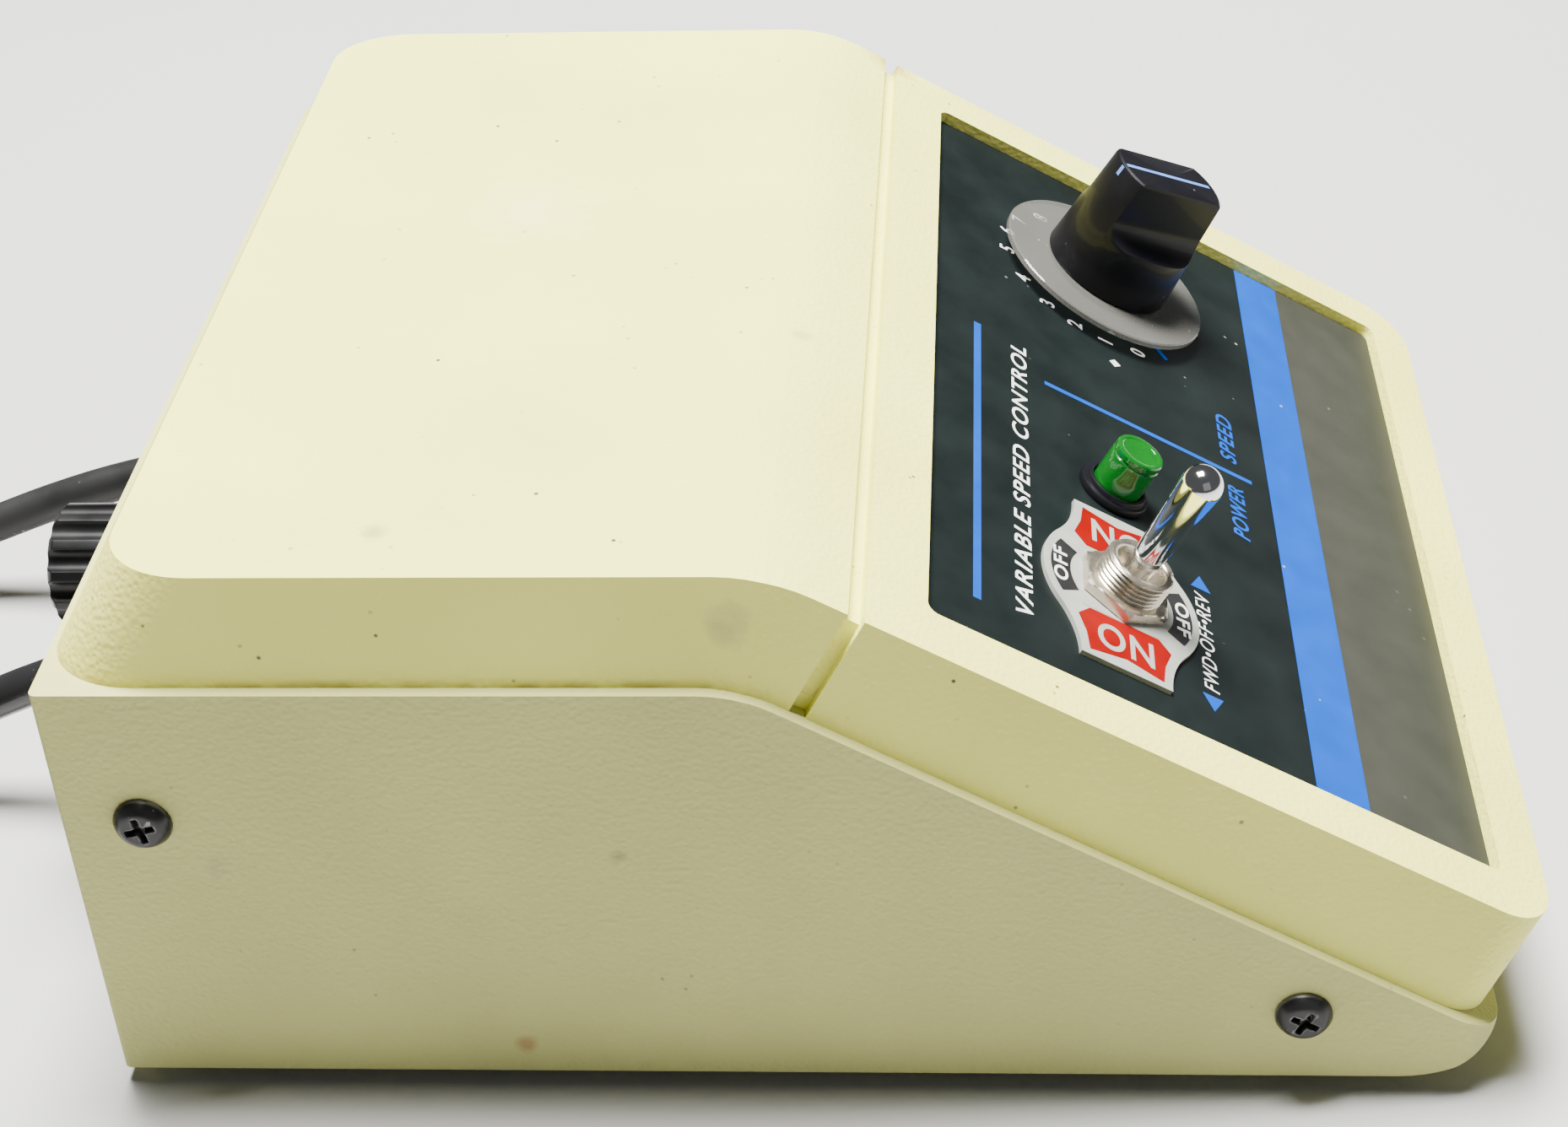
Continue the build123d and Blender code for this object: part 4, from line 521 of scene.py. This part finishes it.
def tog_print(name, pts, material, t=0.05):
    return prism(name, pts, P0, P0 + t, tog, material, "case", smooth=0)


for sx, nm in ((-1, "near"), (1, "far")):
    flag = [(sx * 18.7, -6.5), (sx * 17.3, 0.0), (sx * 18.7, 6.5), (sx * 14.6, 7.0), (sx * 10.8, 8.3)]
    inner = [(sx * 8.3, 6.2), (sx * 8.3, -6.2)]
    tog_print("plate_red_" + nm, flag + inner + [(sx * 10.8, -8.3), (sx * 14.6, -7.0)], m_red)
    tog_print("plate_gap_" + nm, [(sx * 8.0, 7.6), (sx * 7.6, 7.0), (sx * 7.6, -7.0), (sx * 8.0, -7.6)], m_plate)
for sy, nm in ((1, "up"), (-1, "down")):
    a0, a1 = (58, 122) if sy > 0 else (238, 302)
    ring = arc_pts(0, 0, 12.9, a0, a1, 16) + arc_pts(0, 0, 9.4, a1, a0, 16)
    tog_print("plate_black_" + nm, ring, m_blackprint)


def plate_text(name, words, x, y, height, width, material, deg):
    u, s = TOGGLE_U + x, CTRL_S - y
    return text_obj(name, words, u, s, height, material, deg=deg, bold=0.02, width=width, o0=P0 + 0.05, t=0.04)


plate_text("plate_on_near", "ON", -13.6, 0, 6.2, 10.0, m_plate, -90)
plate_text("plate_on_far", "ON", 13.6, 0, 6.2, 10.0, m_plate, 90)
plate_text("plate_off_up", "OFF", 0, 11.15, 2.5, 8.6, m_white, 0)
plate_text("plate_off_down", "OFF", 0, -11.15, 2.5, 8.6, m_white, 180)

# ---------------------------------------------------------------- threaded bushing and nut
def threaded(name, r_out, depth, pitch, o0, o1, matrix, material, body, r_in, seg=72):
    """a tube with a rolled outside thread, its top end chamfered"""
    bm = bmesh.new()
    rows = int((o1 - o0) / (pitch / 6))
    rings = []
    for k in range(rows + 1):
        h = o0 + (o1 - o0) * k / rows
        ring = []
        for i in range(seg):
            ph = (h / pitch - i / seg) % 1.0
            tri = abs(ph * 2 - 1)
            prof = min(1.0, max(0.0, (tri - 0.12) / 0.76))
            endf = min(1.0, (o1 - h) / 0.45)
            r = r_out - depth * prof - 0.30 * (1 - endf)
            a = 2 * pi * i / seg
            ring.append(bm.verts.new((r * cos(a) * MM, r * sin(a) * MM, h * MM)))
        rings.append(ring)
    for rr, hh in ((r_in + 0.45, o1), (r_in, o1 - 0.4), (r_in, o0)):
        rings.append([bm.verts.new((rr * cos(2 * pi * i / seg) * MM, rr * sin(2 * pi * i / seg) * MM, hh * MM))
                      for i in range(seg)])
    for a, b in zip(rings, rings[1:] + rings[:1]):
        for i in range(seg):
            j = (i + 1) % seg
            bm.faces.new((a[i], a[j], b[j], b[i]))
    bmesh.ops.recalc_face_normals(bm, faces=bm.faces)
    me = bpy.data.meshes.new(name); bm.to_mesh(me); bm.free()
    return obj(name, me, material, body, matrix, 50)


def boolean(o, cutter, op="DIFFERENCE"):
    md = o.modifiers.new("b", "BOOLEAN"); md.operation = op; md.solver = "EXACT"; md.object = cutter
    dg = bpy.context.evaluated_depsgraph_get(); dg.update()
    me = bpy.data.meshes.new_from_object(o.evaluated_get(dg))
    o.modifiers.clear(); o.data = me
    bpy.data.objects.remove(cutter)
    return o


def cutter(name, bm):
    me = bpy.data.meshes.new(name); bmesh.ops.recalc_face_normals(bm, faces=bm.faces); bm.to_mesh(me); bm.free()
    o = bpy.data.objects.new(name, me); bpy.context.scene.collection.objects.link(o)
    return o


def box_cut(name, x0, x1, y0, y1, z0, z1, matrix):
    bm = bmesh.new()
    vs = [bm.verts.new((x * MM, y * MM, z * MM)) for z in (z0, z1) for y in (y0, y1) for x in (x0, x1)]
    for f in ((0, 1, 3, 2), (4, 6, 7, 5), (0, 4, 5, 1), (2, 3, 7, 6), (0, 2, 6, 4), (1, 5, 7, 3)):
        bm.faces.new([vs[i] for i in f])
    bmesh.ops.transform(bm, matrix=matrix, verts=bm.verts)
    return cutter(name, bm)


bush = threaded("switch_bushing_threaded", 5.95, 0.38, 0.8, -6.9, 5.1, tog, m_nickel, "case", 4.3)
boolean(bush, box_cut("kw", -0.8, 0.8, -6.6, -5.05, -1.0, 8.0, tog))
bush.data.shade_smooth(); bush.data.set_sharp_from_angle(angle=radians(50))
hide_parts("switch_bushing")

# hexagon nut with chamfered corners and a dished washer face
def hex_nut(name, af, h0, h1, bore, matrix, material, body, rot=0.0):
    bm = bmesh.new()
    seg = 72
    R6 = af / sqrt(3)
    def rad(a):
        d = (degrees_mod(a - rot) % 60.0) - 30.0
        return af / 2 / cos(radians(d))
    rings = []
    for h, lim, inner in ((h0, 1e9, 0), (h0 + 0.1, 1e9, 0), (h1 - 0.42, 1e9, 0), (h1 - 0.2, af / 2 + 0.45, 0),
                          (h1, af / 2 - 0.05, 0), (h1, bore + 0.35, 1), (h1 - 0.3, bore, 1), (h0, bore, 1)):
        ring = []
        for i in range(seg):
            a = 360.0 * i / seg
            r = lim if inner else min(rad(a), lim)
            if not inner and h == h0:
                r -= 0.08
            ring.append(bm.verts.new((r * cos(radians(a)) * MM, r * sin(radians(a)) * MM, h * MM)))
        rings.append(ring)
    for a, b in zip(rings, rings[1:] + rings[:1]):
        for i in range(seg):
            j = (i + 1) % seg
            bm.faces.new((a[i], a[j], b[j], b[i]))
    bmesh.ops.recalc_face_normals(bm, faces=bm.faces)
    me = bpy.data.meshes.new(name); bm.to_mesh(me); bm.free()
    return obj(name, me, material, body, matrix, 24)


def degrees_mod(a):
    return a % 360.0


nut = hex_nut("switch_nut_hex", 14.3, P0 + 0.1, 0.8, 5.6, tog, m_nickel, "case", rot=0.0)
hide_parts("switch_nut")

# ---------------------------------------------------------------- pilot lamp
lamp = panel_mat(LAMP_U, CTRL_S, 0.0)
bez = lathe("lamp_bezel_ring", [(4.55, -6.0), (5.15, -6.0), (5.15, -2.0), (6.1, -2.0), (6.3, -1.85), (6.3, -0.95),
                                (6.12, -0.7), (5.5, -0.66), (5.4, -0.5), (5.4, -0.05), (5.25, 0.15), (4.95, 0.2),
                                (4.72, 0.1), (4.6, -0.3), (4.55, -1.5)], lamp, m_black, "case", 64, 40)
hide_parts("lamp_bezel")
# pressed lens with a stepped crown, as a closed shell
lens = lathe("lamp_lens_cap", [(0, 6.98), (2.6, 7.02), (3.25, 7.1), (3.42, 7.24), (3.75, 7.3), (4.12, 7.22),
                               (4.3, 6.95), (4.34, 6.2), (4.18, 6.0), (4.18, 5.82), (4.36, 5.62), (4.4, 5.2),
                               (4.4, 0.6), (4.4, -1.9), (3.9, -1.9), (3.8, 5.4), (3.5, 6.2), (0, 6.3)], lamp, m_lens,
             "case", 64, 30)
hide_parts("lamp_lens")
# the glowing core is painted light: the lamp itself is unlit
core = lathe("lamp_painted_glow", [(0, 4.4), (2.2, 4.3), (3.2, 3.6), (3.6, 2.4), (3.68, -1.6), (0, -1.7)], lamp, m_painted_glow,
             "case", 48, 40)

# ---------------------------------------------------------------- speed knob
KA = 24.5
kn = panel_mat(KNOB_U, CTRL_S, 0.0, KA)
knob = lathe("speed_knob_grip", [(0, 1.55), (11.9, 1.55), (12.35, 1.7), (12.48, 2.1), (12.0, 9.0), (11.0, 23.2),
                                 (10.82, 23.7), (10.4, 23.93), (0, 23.95)], kn, m_black, "speed_control",
             128, 30)
for sx in (-1, 1):
    bm = bmesh.new()
    # a flat flank, then a hollow sweep out to the rim
    prof = [(5.65, 26.0), (5.6, 16.2)] + [(9.6 - 4.0 * cos(radians(t)), 15.4 - 4.0 * sin(radians(t)) + 0.3)
                                          for t in range(8, 91, 8)] + [(11.2, 12.1), (14.0, 12.9), (16.0, 13.4),
                                                                       (16.0, 26.0)]
    lo = [bm.verts.new((sx * x * MM, -20 * MM, z * MM)) for x, z in prof]
    hi = [bm.verts.new((sx * x * MM, 20 * MM, z * MM)) for x, z in prof]
    bm.faces.new(lo); bm.faces.new(hi[::-1])
    for i in range(len(prof)):
        j = (i + 1) % len(prof)
        bm.faces.new((lo[i], hi[i], hi[j], lo[j]))
    bmesh.ops.transform(bm, matrix=kn, verts=bm.verts)
    boolean(knob, cutter("kc", bm))
bm = bmesh.new(); bm.from_mesh(knob.data)
bmesh.ops.remove_doubles(bm, verts=bm.verts, dist=2e-6)
bmesh.ops.dissolve_degenerate(bm, edges=bm.edges, dist=1e-6)
wl = bm.edges.layers.float.new("bevel_weight_edge")
for e in bm.edges:
    if len(e.link_faces) == 2 and e.calc_face_angle(0.0) > radians(32):
        e[wl] = 1.0
bm.to_mesh(knob.data); bm.free()
bv = knob.modifiers.new("edges", "BEVEL"); bv.limit_method = "WEIGHT"; bv.width = 0.4 * MM; bv.segments = 3
bv.use_clamp_overlap = True
dg = bpy.context.evaluated_depsgraph_get(); dg.update()
me2 = bpy.data.meshes.new_from_object(knob.evaluated_get(dg)); knob.modifiers.clear(); knob.data = me2
me2.shade_smooth(); me2.set_sharp_from_angle(angle=radians(28))
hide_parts("speed_knob")
line = prism("knob_line", [(-0.42, -9.4), (0.42, -9.4), (0.42, 10.3), (-0.42, 10.3)], 23.9, 23.99, kn, m_line,
             "speed_control", smooth=0)
line2 = prism("knob_line_end", [(-0.42, -0.09), (0.42, -0.09), (0.42, 0.05), (-0.42, 0.05)], -1.9, 0.0,
              kn @ Matrix.Translation(Vector((0, 10.98, 23.5)) * MM) @ Matrix.Rotation(radians(4.4), 4, "X"), m_line,
              "speed_control", smooth=0)
skirt = lathe("knob_skirt_disc", [(4.0, 0.3), (20.5, 0.3), (20.8, 0.42), (20.8, 1.25), (20.55, 1.5), (12.6, 1.5),
                                  (4.0, 1.5)], panel_mat(KNOB_U, CTRL_S, 0.0), m_skirt, "speed_control",
              128, 40)
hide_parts("knob_skirt")

# ---------------------------------------------------------------- case screws
def screw_head(x, yc, zc, sx, idx):
    """pan head with a cross recess"""
    bm = bmesh.new()
    m = frame_mat(W(x, yc, zc + FOOT), Vector((0, 1, 0)), Vector((sx, 0, 0)))
    seg, nr = 72, 22
    turn = radians((14, 62, 35, 80)[idx])

    def cross(px, py):
        c, s_ = cos(turn), sin(turn)
        qx, qy = abs(px * c + py * s_), abs(-px * s_ + py * c)
        a, b = max(qx, qy), min(qx, qy)
        if a > 2.35:
            return 0.0
        w = 0.52 - 0.10 * a / 2.35
        side = min(1.0, max(0.0, (w - b) / 0.16 + 0.5))
        end = min(1.0, max(0.0, (2.35 - a) / 0.5))
        return 1.25 * side * end
    rings = [[bm.verts.new((0, 0, (2.25 - cross(0, 0)) * MM))]]
    for k in range(1, nr + 1):
        r = 4.42 * (k / nr) ** 0.9
        ring = []
        for i in range(seg):
            a = 2 * pi * i / seg
            px, py = r * cos(a), r * sin(a)
            dome = 2.25 if r < 2.4 else 2.25 - 1.75 * ((r - 2.4) / 2.02) ** 2.2
            ring.append(bm.verts.new((px * MM, py * MM, (dome - cross(px, py)) * MM)))
        rings.append(ring)
    rings.append([bm.verts.new((4.42 * cos(2 * pi * i / seg) * MM, 4.42 * sin(2 * pi * i / seg) * MM, 0.02 * MM))
                  for i in range(seg)])
    rings.append([bm.verts.new((1.9 * cos(2 * pi * i / seg) * MM, 1.9 * sin(2 * pi * i / seg) * MM, 0.0))
                  for i in range(seg)])
    rings.append([bm.verts.new((1.9 * cos(2 * pi * i / seg) * MM, 1.9 * sin(2 * pi * i / seg) * MM, -9.4 * MM))
                  for i in range(seg)])
    rings.append([bm.verts.new((0, 0, -9.4 * MM))])
    for a, b in zip(rings, rings[1:]):
        for i in range(seg):
            j = (i + 1) % seg
            if len(a) == 1:
                bm.faces.new((a[0], b[i], b[j]))
            elif len(b) == 1:
                bm.faces.new((a[i], a[j], b[0]))
            else:
                bm.faces.new((a[i], a[j], b[j], b[i]))
    bmesh.ops.recalc_face_normals(bm, faces=bm.faces)
    me = bpy.data.meshes.new("screw"); bm.to_mesh(me); bm.free()
    return obj("case_screw_%d" % idx, me, m_blacksteel, "case", m, 38)


heads = []
k = 0
for sx in (-1, 1):
    for yc, zc in ((-12.6, 51.6), (-185.3, 13.4)):
        heads.append(screw_head(sx * 95.25, yc, zc, sx, k)); k += 1
heads = join_mesh("case_screws_cross", heads)
heads.data.shade_smooth(); heads.data.set_sharp_from_angle(angle=radians(38))
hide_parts("case_screws")

# ---------------------------------------------------------------- ribbed strain reliefs
TILT = radians(12.0)


def relief(name, x, zc, material):
    """moulded cord guard: flange, then a tapered sleeve cut into ribs"""
    d = Vector((0, cos(TILT), -sin(TILT)))
    m = frame_mat(W(x, 0, zc + FOOT), Vector((1, 0, 0)), d)
    prof = [(3.85, -3.0), (6.6, -3.0), (6.6, 1.8)]
    n = 7
    z0, z1 = 4.2, 21.6
    for i in range(n):
        a = z0 + (z1 - z0) * i / n; b = z0 + (z1 - z0) * (i + 0.62) / n; c = z0 + (z1 - z0) * (i + 1) / n
        ra = 6.75 - 2.1 * (a - 2.2) / 19.8; rb = 6.75 - 2.1 * (b - 2.2) / 19.8
        prof += [(ra - 0.12, a), (ra, a + 0.2), (rb, b - 0.2), (rb - 0.12, b)]
        if i < n - 1:
            prof += [(rb - 1.0, b + 0.15), (rb - 1.0, c - 0.15)]
    prof += [(4.35, 21.75), (3.85, 21.8)]
    sleeve = lathe(name + "_a", prof, m, material, "case", 48, 40)
    fl = frame_mat(W(x, 0, zc + FOOT), Vector((1, 0, 0)), Vector((0, 1, 0)))
    flange = lathe(name + "_b", [(4.1, 0.02), (8.0, 0.02), (8.2, 0.25), (8.2, 2.7), (7.9, 3.25), (7.4, 3.4),
                                 (4.6, 3.4)], fl, material, "case", 64, 30)
    neck = lathe(name + "_c", [(4.1, -5.6), (5.4, -5.6), (5.85, -5.2), (5.85, 0.1), (4.1, 0.1)], fl, material, "case",
                 48, 30)
    r = join_mesh(name, [sleeve, flange, neck])
    r.data.shade_smooth(); r.data.set_sharp_from_angle(angle=radians(35))
    return r


pr = relief("power_guard", -24.0, 30.0, m_rubber)
mr = relief("motor_guard", 38.0, 30.0, m_rubber)
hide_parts("power_strain_relief")
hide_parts("motor_strain_relief")

# plug and connector with eased edges
plug_piece = try_refined("power_plug", "power_plug_body", 0.8, None, 3, 30)
conn_piece = try_refined("motor_connector", "motor_connector_body", 0.5, None, 2, 30)


# ---------------------------------------------------------------- cords
def nurbs(name, pts, radius, material, body):
    cu = bpy.data.curves.new(name, "CURVE"); cu.dimensions = "3D"
    sp = cu.splines.new("NURBS"); sp.points.add(len(pts) - 1)
    for p, q in zip(sp.points, pts):
        p.co = (*q, 1.0)
    sp.order_u = 3; sp.use_endpoint_u = True
    sp.resolution_u = 6
    cu.bevel_depth = radius; cu.bevel_resolution = 5; cu.use_fill_caps = True
    cu.materials.append(material)
    o = bpy.data.objects.new(name, cu); bpy.context.scene.collection.objects.link(o)
    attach(o, body)
    return o


TURN = 7.7
Z1, Z2, Z3, Z4 = 3.8, 11.5, 19.2, 27.0


def coil_points(c, R, m, turns, end_z):
    """the cord's way round the coil: (turns) slots, then over the top to the plug"""
    ro, ri = R + TURN / 2, R - TURN / 2
    slots = [(ro, Z1), (ri, Z1), (ri, Z2), (ro, Z2), (ro, Z3), (ri, Z3)][:turns] + [(R + 3.0, Z4)]
    pts = []
    step = 15.0
    a = 7.5
    last = 360.0 * turns + 0.0
    while a < last:
        k = int(a // 360)
        loc = a - 360.0 * k
        # each turn moves over a little before the last one did
        w1 = 360.0 - (0, 72, 110, 182, 220, 290)[k]
        w0 = w1 - (74, 42, 74, 42, 74, 54)[k]
        t = min(1.0, max(0.0, (loc - w0) / (w1 - w0)))
        r = slots[k][0] * (1 - t) + slots[k + 1][0] * t
        z = slots[k][1] * (1 - t) + slots[k + 1][1] * t
        rc = r / cos(radians(step / 2))
        pts.append((c[0] + m * rc * cos(radians(loc)), c[1] + rc * sin(radians(loc)), z))
        a += step
    for ang, k in ((-6, 0.02), (18, 0.2), (42, 0.47), (66, 0.78), (90, 1.0)):
        rr = R + 4.0
        pts.append((c[0] + m * rr * cos(radians(ang)), c[1] + rr * sin(radians(ang)), 27.0 + k * (end_z - 27.0)))
    return [W(*p) for p in pts if True]


POWER_ROUTE = [(-24, 0, 33.0), (-24, 20, 29.4), (-24.3, 46, 18.0), (-25.6, 66, 7.6), (-25.2, 84, 3.75),
               (-24.6, 94, 3.75)]
MOTOR_ROUTE = [(38, 0, 33.0), (38, 18, 29.7), (38.7, 42, 22.9), (37.4, 68, 12.4),
               (37.6, 92, 4.6), (38.4, 110, 3.75)]
PC, MC = (-71.6, 107.0), (82.5, 130.5)
PR, MR = 43.2, 40.2
PLUG_Z, CONN_Z = 23.1 + 11.0, 23.1 + 9.4
power_pts = [W(*p) for p in POWER_ROUTE] + coil_points(PC, PR, 1, 6, PLUG_Z)
motor_pts = [W(*p) for p in MOTOR_ROUTE] + coil_points(MC, MR, -1, 5, CONN_Z)
power_line = nurbs("power_lead", power_pts, CORD_R * MM, m_cordb, "case")
motor_line = nurbs("motor_lead", motor_pts, CORD_R * MM, m_cordg, "case")
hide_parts("power_cord", "power_coil", "power_tail")
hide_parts("motor_cord", "motor_coil", "motor_tail")


def curve_len(o):
    dup = o.data.copy(); dup.bevel_depth = 0
    t = bpy.data.objects.new("t", dup); bpy.context.scene.collection.objects.link(t)
    dg = bpy.context.evaluated_depsgraph_get()
    me = bpy.data.meshes.new_from_object(t.evaluated_get(dg))
    L = sum((me.vertices[e.vertices[0]].co - me.vertices[e.vertices[1]].co).length for e in me.edges)
    bpy.data.objects.remove(t); bpy.data.meshes.remove(me); bpy.data.curves.remove(dup)
    return L


print("cord lengths", round(curve_len(power_line), 4), round(curve_len(motor_line), 4))

# ---------------------------------------------------------------- floor and light
bm = bmesh.new()
gx, gy = 60, 60
S = 2.6
for i in range(2):
    for j in range(2):
        bm.verts.new(((i - 0.5) * 2 * S, (j - 0.5) * 2 * S, 0))
bm.verts.ensure_lookup_table()
bm.faces.new((bm.verts[0], bm.verts[2], bm.verts[3], bm.verts[1]))
fme = bpy.data.meshes.new("floor"); bm.to_mesh(fme); bm.free()
floor = bpy.data.objects.new("floor", fme); bpy.context.scene.collection.objects.link(floor)
fme.materials.append(mat("floor_paper", (0.50, 0.50, 0.505), 0.7, var=0.012, vscale=4, grain=300, bump=0.04, depth=0.05))

world = bpy.data.worlds.new("world"); bpy.context.scene.world = world
world.use_nodes = True
world.node_tree.nodes["Background"].inputs["Color"].default_value = (0.93, 0.96, 1.0, 1)
world.node_tree.nodes["Background"].inputs["Strength"].default_value = 0.10


def area(name, pos, target, size, power, col=(1, 1, 1), size_y=None):
    d = bpy.data.lights.new(name, "AREA"); d.energy = power; d.color = col
    d.shape = "RECTANGLE"; d.size = size; d.size_y = size_y or size
    o = bpy.data.objects.new(name, d); bpy.context.scene.collection.objects.link(o)
    v = (Vector(target) - Vector(pos)).normalized()
    o.matrix_world = v.to_track_quat("-Z", "Y").to_matrix().to_4x4()
    o.location = pos
    return o


area("key", (0.22, 0.05, 1.40), (0, 0, 0.05), 0.55, 118.0, (1.0, 0.985, 0.94))
area("fill", (-1.1, -0.6, 0.7), (0, 0, 0.05), 0.9, 0.5, (0.95, 0.97, 1.0))
